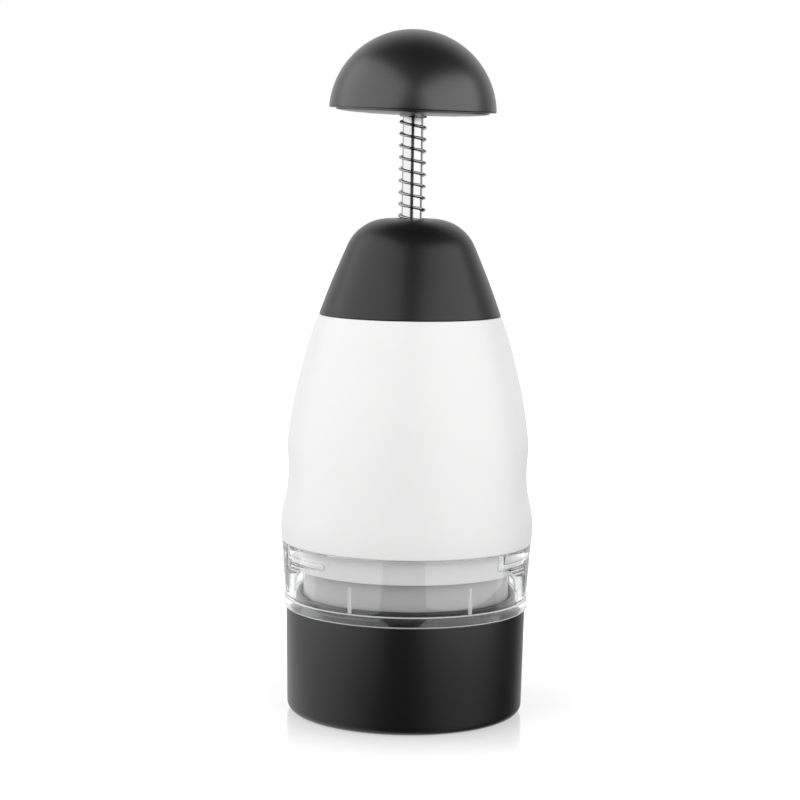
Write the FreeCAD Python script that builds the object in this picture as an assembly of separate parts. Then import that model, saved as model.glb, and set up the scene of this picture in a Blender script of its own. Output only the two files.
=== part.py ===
import FreeCAD, Part
import math
import os

from FreeCAD import Vector

# Plunger food chopper, standing on its cup. Millimetres, +Z up, origin in the middle of the cup's
# underside. Its pieces turn about the Z axis, and the front of the chopper faces -Y.
#
# From the floor up: a cup, a clear chamber ring that plugs onto it, a housing of two hinged grip
# shells under a conical cover, and a domed knob on a steel rod with a return spring. The rod carries
# a zigzag blade, and a cross pin that runs in a twisted cam turns it a little at every stroke.

# ---- Clearances ----
running_fit = 0.05        # radial, a shaft or pin in its bore
seat_gap = 0.1            # a fixed piece that seats on its neighbour
lift_gap = 0.3            # bodies that slide or twist past each other
knob_slack = 0.35         # play of the knob on the rod's neck
cut_margin = 1.0          # how far a cut runs past the face that it opens

# ---- Motions ----
press_stroke = 34.0       # travel of the knob
stroke_turn = 30.0        # degrees the blade turns in one stroke
twist_turn = 30.0         # degrees the chamber ring turns to unlock

# ---- Cup ----
cup_height = 37.6         # floor to the shoulder that carries the ring
cup_shoulder_step = 0.4   # shoulder inside the ring's foot
cup_taper = 0.7           # foot narrower than the shoulder, on the radius
cup_wall = 3.9
cup_floor = 2.6
cup_foot_round = 4.0
cup_inside_round = 4.0
collar_height = 5.0       # collar that plugs in between the ring's ribs
collar_wall = 1.6

# ---- Clear chamber ring ----
chamber_bore = 40.6       # radius
chamber_height = 23.05
chamber_foot_wall = 2.1
chamber_flare = 1.4       # rim wider than the foot, on the radius
chamber_bead = 0.35       # the foot stands out by this much
chamber_bead_height = 3.6
rib_width = 1.7
rib_depth = 0.9
rib_step = 60             # degrees between ribs
rib_top_gap = 1.5         # ribs below the neck of the grip shells

# ---- Bayonet between the ring and the neck of the grip shells ----
lug_angles = (-10, 46.5, 170, 226.5)
lug_width = 2.0
lug_height = 1.5
lug_reach = 1.0           # how far a lug enters the ring's wall
lug_drop = 4.1            # top of a lug below the ring's rim

# ---- Grip shells. Each radius is given by its step from the one below it. ----
neck_gap = 0.35           # radial, neck inside the ring
neck_depth = 8.7          # neck below the ring's rim
neck_wall = 2.2
shell_height = 79.8
shell_wall = 2.4
shell_foot_step = 0.2     # outward from the ring's rim
shell_foot_round = 0.7
belly_swell = 0.25        # outward
belly_height = 5.4
middle_taper = 0.9        # inward, as the rest
middle_height = 23.2
grip_taper = 1.15
grip_height = 35.2
upper_taper = 2.15
upper_height = 49.8
shoulder_taper = 3.25
shoulder_height = 63.8
top_taper = 5.15
split_gap = 0.2           # between the front and the rear shell
web_thickness = 2.4       # flange that closes a shell's top
web_margin = 0.5          # between the web's hole and the hinge ears
scoop_depth = 1.58        # a finger scoop's deepest point below the skin
scoop_height = 25.95      # middle of a scoop above the shell's foot
scoop_plan_radius = 51.6  # curve of a scoop seen from above
scoop_side_radius = 67.0  # curve of a scoop seen from the front

# ---- Shell hinges ----
hinge_inset = 11.95       # pin inside the shell's top edge
hinge_rise = 4.0          # pin above the shell's top
hinge_pin_radius = 1.5
ear_radius = 3.0
ear_width = 3.6
bracket_width = 15.4

# ---- Conical cover ----
cover_wall = 2.2
cover_height = 33.6
cover_flank_taper = 9.4       # flank's end, where the crown starts, inside its foot
cover_flank_height = 23.7
cover_flank_bulge = 0.25
cover_crown_round = 16.0
cover_hole_gap = 0.6          # around the spring
cover_boss_radius = 3.2
cover_boss_height = 9.0
cover_screw_inset = 11.95     # screws inside the cover's foot
cover_screw_angles = (35, 145, 215, 325)

# ---- Top frame ----
frame_rise = 7.9              # plate above the shell's top
frame_plate = 2.5
frame_plate_gap = 0.5         # around the plate, inside the cover
frame_tube_wall = 2.4
well_wall = 1.6
well_height = 16.0

# ---- Cam ----
cam_wall = 3.3
cam_inner_gap = 0.5           # around the rod
cam_end = 7.0                 # sleeve beyond each end of the slots
cam_sections = 8
follower_radius = 1.5

# ---- Guides ----
bush_wall = 1.6
bush_height = 5.0
bush_flange = 0.8
guide_cap_flange = 2.5
guide_cap_spigot = 2.0

# ---- Rod ----
rod_radius = 3.65
rod_neck_radius = 3.0         # turned down where the knob swivels on it

# ---- Return spring ----
spring_wire = 0.95
spring_gap = 0.225            # between the spring and the rod
spring_pitch = 4.0
spring_sides = 8              # flats around the wire
spring_seat_thickness = 0.6

# ---- Knob ----
knob_rest_gap = 3.2           # knob above the cover at full stroke
knob_radius = 29.2
knob_cut = 0.95               # rim above the middle of the knob's ball
knob_rim_round = 1.5
knob_wall = 2.4
underplate_thickness = 2.6
underplate_recess = 0.4
knob_bush_wall = 4.0
knob_bush_height = 10.0
knob_boss_radius = 3.2
knob_screw_inset = 11.2       # screws inside the knob's ball
knob_screw_angles = (90, 210, 330)

# ---- Screws ----
screw_radius = 1.4
screw_head_radius = 2.6
screw_head_height = 2.0
screw_length = 9.0
knob_screw_length = 7.0
top_screw_head_radius = 4.0
top_screw_length = 7.0
top_washer_radius = 6.5
top_washer_thickness = 1.0

# ---- Rod stop ----
stop_clip_radius = 6.0
stop_clip_thickness = 0.8
stop_groove_depth = 0.6
bump_washer_radius = 7.0
bump_washer_thickness = 1.6

# ---- Blade and its carrier ----
blade_floor_gap = 1.4         # edge above the cup's floor at full stroke
blade_thickness = 0.8
blade_inset = 2.6             # folds inside the carrier's edge
blade_end_inset = 2.45        # the blade's ends inside its reach, across the chopper
blade_facets = 5
blade_phase = -5.0            # degrees
blade_bevel = 1.2             # height of the ground edge
blade_edge = 0.15             # thickness left at the ground edge
carrier_gap = 1.3             # around the carrier, inside the neck
carrier_lift = 4.0            # carrier above the neck's lower end
carrier_thickness = 2.6
carrier_rib_width = 3.6
carrier_rib_depth = 5.0
carrier_boss_radius = 8.0
carrier_boss_height = 18.0
carrier_pin_radius = 1.25
carrier_rim_height = 3.2

# ---- Heights and radii that follow ----
chamber_foot = cup_height + seat_gap
chamber_rim = chamber_foot + chamber_height
chamber_foot_radius = chamber_bore + chamber_foot_wall
chamber_rim_radius = chamber_foot_radius + chamber_flare
cup_shoulder_radius = chamber_foot_radius - cup_shoulder_step
cup_foot_radius = cup_shoulder_radius - cup_taper
collar_radius = chamber_bore - rib_depth - lift_gap
collar_top = cup_height + collar_height

shell_foot = chamber_rim + lift_gap
shell_top = shell_foot + shell_height
neck_bottom = chamber_rim - neck_depth
neck_radius = chamber_bore - neck_gap
neck_bore = neck_radius - neck_wall
shell_foot_radius = chamber_rim_radius + shell_foot_step
belly_radius = shell_foot_radius + belly_swell
middle_radius = belly_radius - middle_taper
grip_radius = middle_radius - grip_taper
upper_radius = grip_radius - upper_taper
shoulder_radius = upper_radius - shoulder_taper
shell_top_radius = shoulder_radius - top_taper
scoop_radius = middle_radius - scoop_depth
hinge_offset = shell_top_radius - hinge_inset
web_hole_radius = hinge_offset - ear_radius - web_margin

lug_top = chamber_rim - lug_drop
lug_bottom = lug_top - lug_height
lug_radius = chamber_bore + lug_reach

cover_foot = shell_top + seat_gap
cover_top = cover_foot + cover_height
cover_flank_radius = shell_top_radius - cover_flank_taper
cover_screw_circle = shell_top_radius - cover_screw_inset
knob_bottom = cover_top + press_stroke + knob_rest_gap
knob_top = knob_bottom + knob_radius - knob_cut
knob_screw_circle = knob_radius - knob_screw_inset
underplate_bottom = knob_bottom + underplate_recess
underplate_top = underplate_bottom + underplate_thickness
underplate_radius = knob_radius - knob_wall - seat_gap
knob_bush_top = underplate_top + knob_bush_height

rod_bore = rod_radius + running_fit
spring_radius = rod_radius + spring_gap + spring_wire / 2
spring_outer = spring_radius + spring_wire / 2
well_radius = spring_outer + cover_hole_gap

frame_bottom = shell_top + frame_rise
frame_top = frame_bottom + frame_plate
bush_radius = rod_bore + bush_wall
bush_bottom = frame_top - bush_height
spring_seat_bottom = frame_top + bush_flange
spring_bottom = spring_seat_bottom + spring_seat_thickness
top_washer_top = underplate_bottom - seat_gap
spring_top = top_washer_top - spring_seat_thickness

cam_bore = rod_radius + cam_inner_gap
cam_radius = cam_bore + cam_wall
follower_half = cam_radius - lift_gap
slot_half_width = follower_radius + lift_gap
cam_top = bush_bottom
follower_height = cam_top - cam_end - slot_half_width
cam_bottom = follower_height - press_stroke - slot_half_width - cam_end
frame_tube_bore = cam_radius + running_fit
frame_tube_radius = frame_tube_bore + frame_tube_wall
guide_cap_top = cam_bottom
frame_tube_bottom = guide_cap_top - guide_cap_spigot
guide_cap_bottom = frame_tube_bottom - guide_cap_flange

bump_washer_top = guide_cap_bottom - lift_gap
stop_clip_top = bump_washer_top - bump_washer_thickness
stop_clip_bottom = stop_clip_top - stop_clip_thickness

blade_bottom = cup_floor + blade_floor_gap + press_stroke
carrier_bottom = neck_bottom + carrier_lift
carrier_top = carrier_bottom + carrier_thickness
blade_top = carrier_bottom - seat_gap
carrier_radius = neck_bore - carrier_gap
blade_reach = carrier_radius - blade_inset
blade_pitch = 2 * (blade_reach - blade_end_inset) / blade_facets
carrier_boss_top = carrier_bottom + carrier_boss_height
rod_bottom = carrier_top + seat_gap
rod_shoulder = underplate_bottom - seat_gap
rod_top = knob_bush_top + knob_slack
carrier_pin_height = (carrier_top + carrier_boss_top) / 2

CENTRE = Vector(0, 0, 0)
UP = Vector(0, 0, 1)


# ---- Helpers ----

def rz(radius, height):
    """A point of a turned outline."""
    return Vector(radius, 0, height)


def arc(centre, radius, start, end):
    """Middle and end point of an arc in an outline, its angles in degrees from the outward side."""
    middle_angle = math.radians((start + end) / 2)
    end_angle = math.radians(end)
    middle = rz(radius * math.cos(middle_angle), radius * math.sin(middle_angle))
    # An arc that ends straight above or below its centre ends exactly there.
    across = 0 if abs(end) == 90 else radius * math.cos(end_angle)
    return centre + middle, centre + rz(across, radius * math.sin(end_angle))


def outline(start, *steps):
    """Closed face in the XZ plane. A step is a point for a straight edge, a pair (middle, end) for
    an arc, or a list of points for a smooth curve."""
    edges = []
    here = start
    for step in steps + (start,):
        if isinstance(step, tuple):
            edge = Part.Arc(here, step[0], step[1])
            here = step[1]
        elif isinstance(step, list):
            edge = Part.BSplineCurve()
            edge.interpolate([here] + step)
            here = step[-1]
        else:
            edge = Part.LineSegment(here, step)
            here = step
        edges.append(edge.toShape())
    return Part.Face(Part.Wire(edges))


def turned(face):
    """Solid of revolution about the chopper's axis."""
    return face.revolve(CENTRE, UP, 360)


def disc(radius, bottom, top):
    """Round bar on the axis."""
    return Part.makeCylinder(radius, top - bottom, Vector(0, 0, bottom))


def ring(inner, outer, bottom, top):
    """Round tube or washer on the axis."""
    return disc(outer, bottom, top).cut(disc(inner, bottom, top))


def sector(inner, outer, bottom, top, middle, width):
    """Block of a ring, its middle angle in degrees and its width along the outer wall."""
    sweep = math.degrees(width / outer)
    face = outline(rz(inner, bottom), rz(outer, bottom), rz(outer, top), rz(inner, top))
    block = face.revolve(CENTRE, UP, sweep)
    block.rotate(CENTRE, UP, middle - sweep / 2)
    return block


def block(low, high):
    """Box between two corners."""
    size = high - low
    return Part.makeBox(size.x, size.y, size.z, low)


def around(angles, radius, shape_at_origin):
    """Copies of a shape at the given angles on a circle about the axis."""
    copies = []
    for degrees in angles:
        angle = math.radians(degrees)
        copy = shape_at_origin.copy()
        copy.translate(Vector(radius * math.cos(angle), radius * math.sin(angle), 0))
        copies.append(copy)
    return copies


def screw(shank_radius, head_radius, head_height, length, seat, up):
    """Pan-head screw on the axis. Its head seats at the given height, and its shank runs up or down."""
    if up:
        return disc(head_radius, seat - head_height, seat).fuse(disc(shank_radius, seat, seat + length))
    return disc(head_radius, seat, seat + head_height).fuse(disc(shank_radius, seat - length, seat))


# ---- Cup ----

def base_cup():
    """Cup with a rounded foot, a shoulder and a collar that plugs into the chamber ring."""
    collar_bore = collar_radius - collar_wall
    floor_bore = cup_foot_radius - cup_wall
    foot = rz(cup_foot_radius - cup_foot_round, cup_foot_round)
    inside = rz(floor_bore - cup_inside_round, cup_floor + cup_inside_round)
    return turned(outline(
        rz(0, 0),
        rz(cup_foot_radius - cup_foot_round, 0),
        arc(foot, cup_foot_round, -90, 0),
        rz(cup_shoulder_radius, cup_height),
        rz(collar_radius, cup_height),
        rz(collar_radius, collar_top),
        rz(collar_bore, collar_top),
        rz(floor_bore, cup_floor + cup_inside_round),
        arc(inside, cup_inside_round, 0, -90),
        rz(0, cup_floor)))


# ---- Clear chamber ring ----

def bayonet_track(lug_angle):
    """Cut that a lug runs in: along the wall, and up to the rim at its open end."""
    outer = lug_radius + lift_gap
    slack = lug_width + 2 * lift_gap
    twist_length = math.radians(twist_turn) * outer
    along = sector(neck_radius, outer, lug_bottom - lift_gap, lug_top + lift_gap,
                   lug_angle - twist_turn / 2, twist_length + slack)
    entry = sector(neck_radius, outer, lug_bottom - lift_gap, chamber_rim + cut_margin,
                   lug_angle - twist_turn, slack)
    return along.fuse(entry)


def clear_chamber():
    """Clear ring with a beaded foot, bayonet tracks at its rim and ribs that the collar slides by."""
    bead_top = chamber_foot + chamber_bead_height
    body = turned(outline(
        rz(chamber_bore, chamber_foot),
        rz(chamber_foot_radius + chamber_bead, chamber_foot),
        rz(chamber_foot_radius + chamber_bead, bead_top),
        rz(chamber_foot_radius, bead_top + chamber_bead),
        rz(chamber_rim_radius, chamber_rim),
        rz(chamber_bore, chamber_rim)))
    for degrees in range(0, 360, rib_step):
        body = body.fuse(sector(chamber_bore - rib_depth, chamber_bore + rib_depth / 2,
                                bead_top, neck_bottom - rib_top_gap, degrees, rib_width))
    for lug_angle in lug_angles:
        body = body.cut(bayonet_track(lug_angle))
    return body.removeSplitter()


# ---- Grip shells ----

def shell_stations():
    """Outer radius, height and wall at the stations that shape the grip."""
    scooped = shell_wall + scoop_depth
    return (
        (belly_radius, shell_foot + belly_height, scooped),
        (middle_radius, shell_foot + middle_height, scooped),
        (grip_radius, shell_foot + grip_height, shell_wall),
        (upper_radius, shell_foot + upper_height, shell_wall),
        (shoulder_radius, shell_foot + shoulder_height, shell_wall))


def grip_body():
    """Both grip shells as one turned body, with its neck, closed at the top by a web."""
    stations = shell_stations()
    web_bottom = shell_top - web_thickness
    foot = rz(shell_foot_radius - shell_foot_round, shell_foot + shell_foot_round)
    outer = [rz(radius, height) for radius, height, wall in stations]
    inner = [rz(radius - wall, height) for radius, height, wall in stations]
    inner.reverse()
    return turned(outline(
        rz(neck_bore, neck_bottom),
        rz(neck_radius, neck_bottom),
        rz(neck_radius, shell_foot),
        rz(shell_foot_radius - shell_foot_round, shell_foot),
        arc(foot, shell_foot_round, -90, 0),
        outer + [rz(shell_top_radius, shell_top)],
        rz(web_hole_radius, shell_top),
        rz(web_hole_radius, web_bottom),
        rz(shell_top_radius - shell_wall + web_thickness / 2, web_bottom),
        inner,
        rz(neck_bore, shell_foot + shell_wall)))


def finger_scoop(side):
    """Shallow saddle cut at the right (side 1) or the left (side -1) of the grip."""
    centre = Vector(side * (scoop_radius - scoop_plan_radius), 0, shell_foot + scoop_height)
    return Part.makeTorus(scoop_plan_radius + scoop_side_radius, scoop_side_radius, centre)


def hinge_ears(side):
    """Two ears on a shell's web that hold its hinge pin, at the front (side -1) or the rear (1)."""
    pin_height = shell_top + hinge_rise
    inner = bracket_width / 2 + lift_gap
    ears = []
    for start in (inner, -inner - ear_width):
        post = block(Vector(start, side * hinge_offset - ear_radius, shell_top - web_thickness / 2),
                     Vector(start + ear_width, side * hinge_offset + ear_radius, pin_height))
        eye = Part.makeCylinder(ear_radius, ear_width, Vector(start, side * hinge_offset, pin_height),
                                Vector(1, 0, 0))
        ears.append(post.fuse(eye))
    return ears


def hinge_bore(side, reach):
    """Cut for a hinge pin along X."""
    return Part.makeCylinder(hinge_pin_radius + running_fit, 2 * reach,
                             Vector(-reach, side * hinge_offset, shell_top + hinge_rise),
                             Vector(1, 0, 0))


def grip_shell(side):
    """Front (side -1) or rear (side 1) half of the grip, with its lugs and hinge ears."""
    reach = belly_radius * 2
    body = grip_body()
    for scoop_side in (-1, 1):
        body = body.cut(finger_scoop(scoop_side))
    for lug_angle in lug_angles:
        body = body.fuse(sector(neck_radius - neck_wall / 2, lug_radius, lug_bottom, lug_top,
                                lug_angle, lug_width))
    near = side * split_gap / 2
    far = side * reach
    half_space = block(Vector(-reach, min(near, far), 0), Vector(reach, max(near, far), knob_top))
    half = body.common(half_space).fuse(hinge_ears(side))
    return half.cut(hinge_bore(side, reach)).removeSplitter()


def hinge_pin(side):
    """Steel pin that a grip shell swings on."""
    half_length = bracket_width / 2 + lift_gap + ear_width
    return Part.makeCylinder(hinge_pin_radius, 2 * half_length,
                             Vector(-half_length, side * hinge_offset, shell_top + hinge_rise),
                             Vector(1, 0, 0))


# ---- Cover and top frame ----

def flank_radius(height):
    """Outer radius of the cover's straight flank at a height."""
    share = (height - cover_foot) / cover_flank_height
    return shell_top_radius + share * (cover_flank_radius - shell_top_radius)


def cover_shell(inset):
    """Solid cone with a rounded crown, drawn in by an inset."""
    flank_end = rz(cover_flank_radius - inset, cover_foot + cover_flank_height)
    middle_height = cover_foot + cover_flank_height / 2
    middle = rz(flank_radius(middle_height) + cover_flank_bulge - inset, middle_height)
    crown_round = cover_crown_round - inset
    top = cover_top - inset
    slope = math.degrees(math.asin((flank_end.z - top + crown_round) / crown_round))
    crown = rz(flank_end.x - crown_round * math.cos(math.radians(slope)), top - crown_round)
    return turned(outline(
        rz(0, cover_foot),
        rz(shell_top_radius - inset, cover_foot),
        (middle, flank_end),
        arc(crown, crown_round, slope, 90),
        rz(0, top)))


def shoulder_cover():
    """Conical cover with a hole for the spring and four screw bosses inside."""
    pilot_top = frame_top + screw_length
    boss_top = frame_top + cover_boss_height
    cover = cover_shell(0).cut(cover_shell(cover_wall))
    cover = cover.cut(disc(well_radius, cover_foot, knob_bottom))
    bosses = around(cover_screw_angles, cover_screw_circle, disc(cover_boss_radius, frame_top, boss_top))
    for boss in bosses:
        cover = cover.fuse(boss.common(cover_shell(cover_wall / 2)))
    pilot = disc(screw_radius + running_fit, frame_bottom, pilot_top)
    return cover.cut(around(cover_screw_angles, cover_screw_circle, pilot)).removeSplitter()


def top_frame():
    """Plate under the cover: the spring's well above it, the cam's tube and the hinge brackets below."""
    plate_radius = flank_radius(frame_top) - cover_wall - frame_plate_gap
    frame = disc(plate_radius, frame_bottom, frame_top)
    frame = frame.fuse(disc(well_radius + well_wall, frame_top, frame_top + well_height))
    frame = frame.fuse(disc(frame_tube_radius, frame_tube_bottom, frame_bottom))
    for side in (-1, 1):
        pin_height = shell_top + hinge_rise
        low = Vector(-bracket_width / 2, side * hinge_offset - ear_radius, pin_height)
        high = Vector(bracket_width / 2, side * hinge_offset + ear_radius, frame_bottom)
        eye = Part.makeCylinder(ear_radius, bracket_width,
                                Vector(low.x, side * hinge_offset, pin_height), Vector(1, 0, 0))
        frame = frame.fuse([block(low, high), eye])
        frame = frame.cut(hinge_bore(side, bracket_width))
    frame = frame.cut(disc(well_radius, frame_top, cover_top))
    frame = frame.cut(disc(bush_radius, bush_bottom, frame_top))
    frame = frame.cut(disc(frame_tube_bore, frame_tube_bottom, cam_top))
    hole = disc(screw_radius + lift_gap, frame_bottom, frame_top)
    return frame.cut(around(cover_screw_angles, cover_screw_circle, hole)).removeSplitter()


def cover_screws():
    """Four screws that hold the top frame in the cover."""
    one = screw(screw_radius, screw_head_radius, screw_head_height, screw_length, frame_bottom, True)
    return Part.makeCompound(around(cover_screw_angles, cover_screw_circle, one))


def guide_bush():
    """Flanged bush that guides the rod in the top frame."""
    body = disc(bush_radius, bush_bottom, frame_top)
    flange = disc(well_radius - seat_gap, frame_top, spring_seat_bottom)
    return body.fuse(flange).cut(disc(rod_bore, bush_bottom, spring_seat_bottom)).removeSplitter()


def lower_spring_seat():
    """Steel washer in the well that carries the spring."""
    return ring(rod_bore + seat_gap, well_radius - seat_gap, spring_seat_bottom, spring_bottom)


# ---- Cam ----

def cam_slot_cuts():
    """Twisted bar along both cam slots, and the round ends where the follower pin stops."""
    reach = cam_radius + cut_margin
    sections = []
    for step in range(cam_sections + 1):
        share = step / cam_sections
        height = follower_height - share * press_stroke
        corners = [Vector(-reach, -slot_half_width, height), Vector(reach, -slot_half_width, height),
                   Vector(reach, slot_half_width, height), Vector(-reach, slot_half_width, height)]
        wire = Part.makePolygon(corners + corners[:1])
        wire.rotate(CENTRE, UP, share * stroke_turn)
        sections.append(wire)
    cuts = [Part.makeLoft(sections, True, False)]
    for height, degrees in ((follower_height, 0), (follower_height - press_stroke, stroke_turn)):
        end = Part.makeCylinder(slot_half_width, 2 * reach, Vector(-reach, 0, height), Vector(1, 0, 0))
        end.rotate(CENTRE, UP, degrees)
        cuts.append(end)
    return cuts


def cam_sleeve():
    """Sleeve with two twisted slots, which turn the follower pin as the rod goes down."""
    sleeve = ring(cam_bore, cam_radius, cam_bottom, cam_top)
    for cut in cam_slot_cuts():
        sleeve = sleeve.cut(cut)
    return sleeve


def follower_pin():
    """Cross pin of the rod that runs in the cam slots."""
    return Part.makeCylinder(follower_radius, 2 * follower_half,
                             Vector(-follower_half, 0, follower_height), Vector(1, 0, 0))


def guide_cap():
    """Cap that closes the cam's tube and guides the rod."""
    flange = disc(frame_tube_radius, guide_cap_bottom, frame_tube_bottom)
    spigot = disc(cam_radius, frame_tube_bottom, guide_cap_top)
    return flange.fuse(spigot).cut(disc(rod_bore, guide_cap_bottom, guide_cap_top)).removeSplitter()


# ---- Knob ----

def knob_shell():
    """Dome of the knob with screw bosses inside."""
    centre = rz(0, knob_top - knob_radius)
    inner = knob_radius - knob_wall
    rim_rise = knob_bottom + knob_rim_round - centre.z
    rim_out = math.sqrt((knob_radius - knob_rim_round) ** 2 - rim_rise ** 2)
    rim_angle = math.degrees(math.atan2(rim_rise, rim_out))
    dome = turned(outline(
        rz(0, knob_bottom),
        rz(rim_out, knob_bottom),
        arc(centre + rz(rim_out, rim_rise), knob_rim_round, -90, rim_angle),
        arc(centre, knob_radius, rim_angle, 90)))
    hollow = Part.makeSphere(inner, centre).common(disc(inner, underplate_bottom, knob_top))
    mouth = disc(inner, knob_bottom, underplate_top)
    shell = dome.cut(hollow).cut(mouth)
    ball = Part.makeSphere(inner + knob_wall / 2, centre)
    for boss in around(knob_screw_angles, knob_screw_circle,
                       disc(knob_boss_radius, underplate_top, knob_top)):
        shell = shell.fuse(boss.common(ball))
    pilot = disc(screw_radius + running_fit, underplate_bottom, underplate_bottom + screw_length)
    return shell.cut(around(knob_screw_angles, knob_screw_circle, pilot)).removeSplitter()


def knob_underplate():
    """Plate that closes the knob, with the bush that swivels on the rod's neck."""
    plate = disc(underplate_radius, underplate_bottom, underplate_top)
    bush = disc(rod_neck_radius + knob_bush_wall, underplate_top, knob_bush_top)
    plate = plate.fuse(bush).cut(disc(rod_neck_radius + knob_slack, underplate_bottom, knob_bush_top))
    hole = disc(screw_radius + lift_gap, underplate_bottom, underplate_top)
    recess = disc(screw_head_radius + seat_gap, underplate_bottom, knob_screw_seat())
    plate = plate.cut(around(knob_screw_angles, knob_screw_circle, hole))
    return plate.cut(around(knob_screw_angles, knob_screw_circle, recess)).removeSplitter()


def knob_screw_seat():
    """Height where the heads of the knob's screws seat, half way up the plate."""
    return underplate_bottom + underplate_thickness / 2


def underplate_screws():
    """Three screws that hold the plate in the knob, with low heads inside the plate."""
    one = screw(screw_radius, screw_head_radius, underplate_thickness / 2, knob_screw_length,
                knob_screw_seat(), True)
    return Part.makeCompound(around(knob_screw_angles, knob_screw_circle, one))


def upper_spring_washer():
    """Steel washer between the spring and the knob."""
    return ring(rod_bore + seat_gap, spring_outer + 1, spring_top, top_washer_top)


def return_spring():
    """Compression spring around the rod, wound left-handed."""
    low = spring_bottom + spring_wire / 2
    length = spring_top - spring_bottom - spring_wire
    helix = Part.makeLongHelix(spring_pitch, length, spring_radius, 0, True)
    helix.translate(Vector(0, 0, low))
    section = []
    for side in range(spring_sides + 1):
        angle = 2 * math.pi * (side + 0.5) / spring_sides
        corner = rz(math.cos(angle), math.sin(angle)) * (spring_wire / 2)
        section.append(rz(spring_radius, low) + corner)
    return Part.Wire(helix.Edges).makePipeShell([Part.makePolygon(section)], True, True)


# ---- Rod ----

def plunger_rod():
    """Polished rod with a neck for the knob, a groove for the stop and two cross holes."""
    rod = disc(rod_radius, rod_bottom, rod_shoulder).fuse(disc(rod_neck_radius, rod_shoulder, rod_top))
    groove = ring(rod_radius - stop_groove_depth, rod_radius + cut_margin, stop_clip_bottom, stop_clip_top)
    rod = rod.cut(groove)
    for radius, height in ((follower_radius, follower_height), (carrier_pin_radius, carrier_pin_height)):
        rod = rod.cut(Part.makeCylinder(radius, 4 * rod_radius, Vector(-2 * rod_radius, 0, height),
                                        Vector(1, 0, 0)))
    return rod.cut(disc(screw_radius + running_fit, rod_top - top_screw_length, rod_top)).removeSplitter()


def rod_top_washer():
    """Washer that holds the knob on the rod's neck."""
    return ring(screw_radius + lift_gap, top_washer_radius, rod_top, rod_top + top_washer_thickness)


def rod_top_screw():
    """Screw in the rod's end."""
    return screw(screw_radius, top_screw_head_radius, screw_head_height, top_screw_length,
                 rod_top + top_washer_thickness, False)


def stop_clip():
    """Open retaining ring in the rod's groove."""
    clip = ring(rod_radius - stop_groove_depth, stop_clip_radius, stop_clip_bottom, stop_clip_top)
    mouth = block(Vector(0, -rod_radius / 2, stop_clip_bottom),
                  Vector(stop_clip_radius, rod_radius / 2, stop_clip_top))
    return clip.cut(mouth)


def bump_washer():
    """Rubber washer that stops the rod softly under the guide cap."""
    return ring(rod_radius, bump_washer_radius, stop_clip_top, bump_washer_top)


# ---- Blade ----

def blade_folds():
    """Fold points of the blade seen from above, alternately at the front and the rear."""
    points = []
    for index in range(blade_facets + 1):
        across = (index - blade_facets / 2) * blade_pitch
        depth = math.sqrt(blade_reach ** 2 - across ** 2)
        points.append(Vector(across, -depth if index % 2 == 0 else depth, 0))
    return points


def zigzag(side):
    """Upright band along the folds. The side is its outline on one side of its middle plane, as
    points with the distance from that plane and the height, from the bottom up."""
    points = blade_folds()
    mirrored = [rz(-point.x, point.z) for point in reversed(side)]
    round_fold = turned(outline(rz(0, side[0].z), *side, rz(0, side[-1].z)))
    band = None
    for start, end in zip(points, points[1:]):
        run = end - start
        section = Part.makePolygon(side + mirrored + side[:1])
        section.rotate(CENTRE, UP, math.degrees(math.atan2(run.y, run.x)) - 90)
        section.translate(start)
        facet = Part.Face(section).extrude(run)
        band = facet if band is None else band.fuse(facet)
    for fold in points[1:-1]:
        corner = round_fold.copy()
        corner.translate(fold)
        band = band.fuse(corner)
    band.rotate(CENTRE, UP, blade_phase)
    return band


def plain_band(width, bottom, top):
    """Zigzag band with upright sides."""
    return zigzag([rz(width / 2, bottom), rz(width / 2, top)])


def zigzag_blade():
    """Folded steel strip with a ground lower edge. Its upper edge is moulded into the carrier."""
    half = blade_thickness / 2
    blade = zigzag([rz(blade_edge / 2, blade_bottom), rz(half, blade_bottom + blade_bevel),
                    rz(half, blade_top)])
    return blade.removeSplitter()


def blade_carrier():
    """Splash disc with the boss that takes the rod and the ribs that hold the blade."""
    carrier = disc(carrier_radius, carrier_bottom, carrier_top)
    carrier = carrier.fuse(ring(carrier_radius - neck_wall, carrier_radius, carrier_top,
                                carrier_bottom + carrier_thickness + carrier_rim_height))
    carrier = carrier.fuse(disc(carrier_boss_radius, carrier_bottom, carrier_boss_top))
    ribs = plain_band(carrier_rib_width, carrier_bottom - carrier_rib_depth, carrier_bottom)
    carrier = carrier.fuse(ribs.common(disc(carrier_radius, blade_bottom, carrier_bottom)))
    carrier = carrier.cut(plain_band(blade_thickness, blade_bottom, blade_top))
    carrier = carrier.cut(disc(rod_bore, carrier_top, carrier_boss_top))
    pin_hole = Part.makeCylinder(carrier_pin_radius, 2 * carrier_boss_radius,
                                 Vector(-carrier_boss_radius, 0, carrier_pin_height), Vector(1, 0, 0))
    return carrier.cut(pin_hole).removeSplitter()


def carrier_pin():
    """Cross pin that fixes the carrier to the rod."""
    return Part.makeCylinder(carrier_pin_radius, 2 * carrier_boss_radius,
                             Vector(-carrier_boss_radius, 0, carrier_pin_height), Vector(1, 0, 0))


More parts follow.
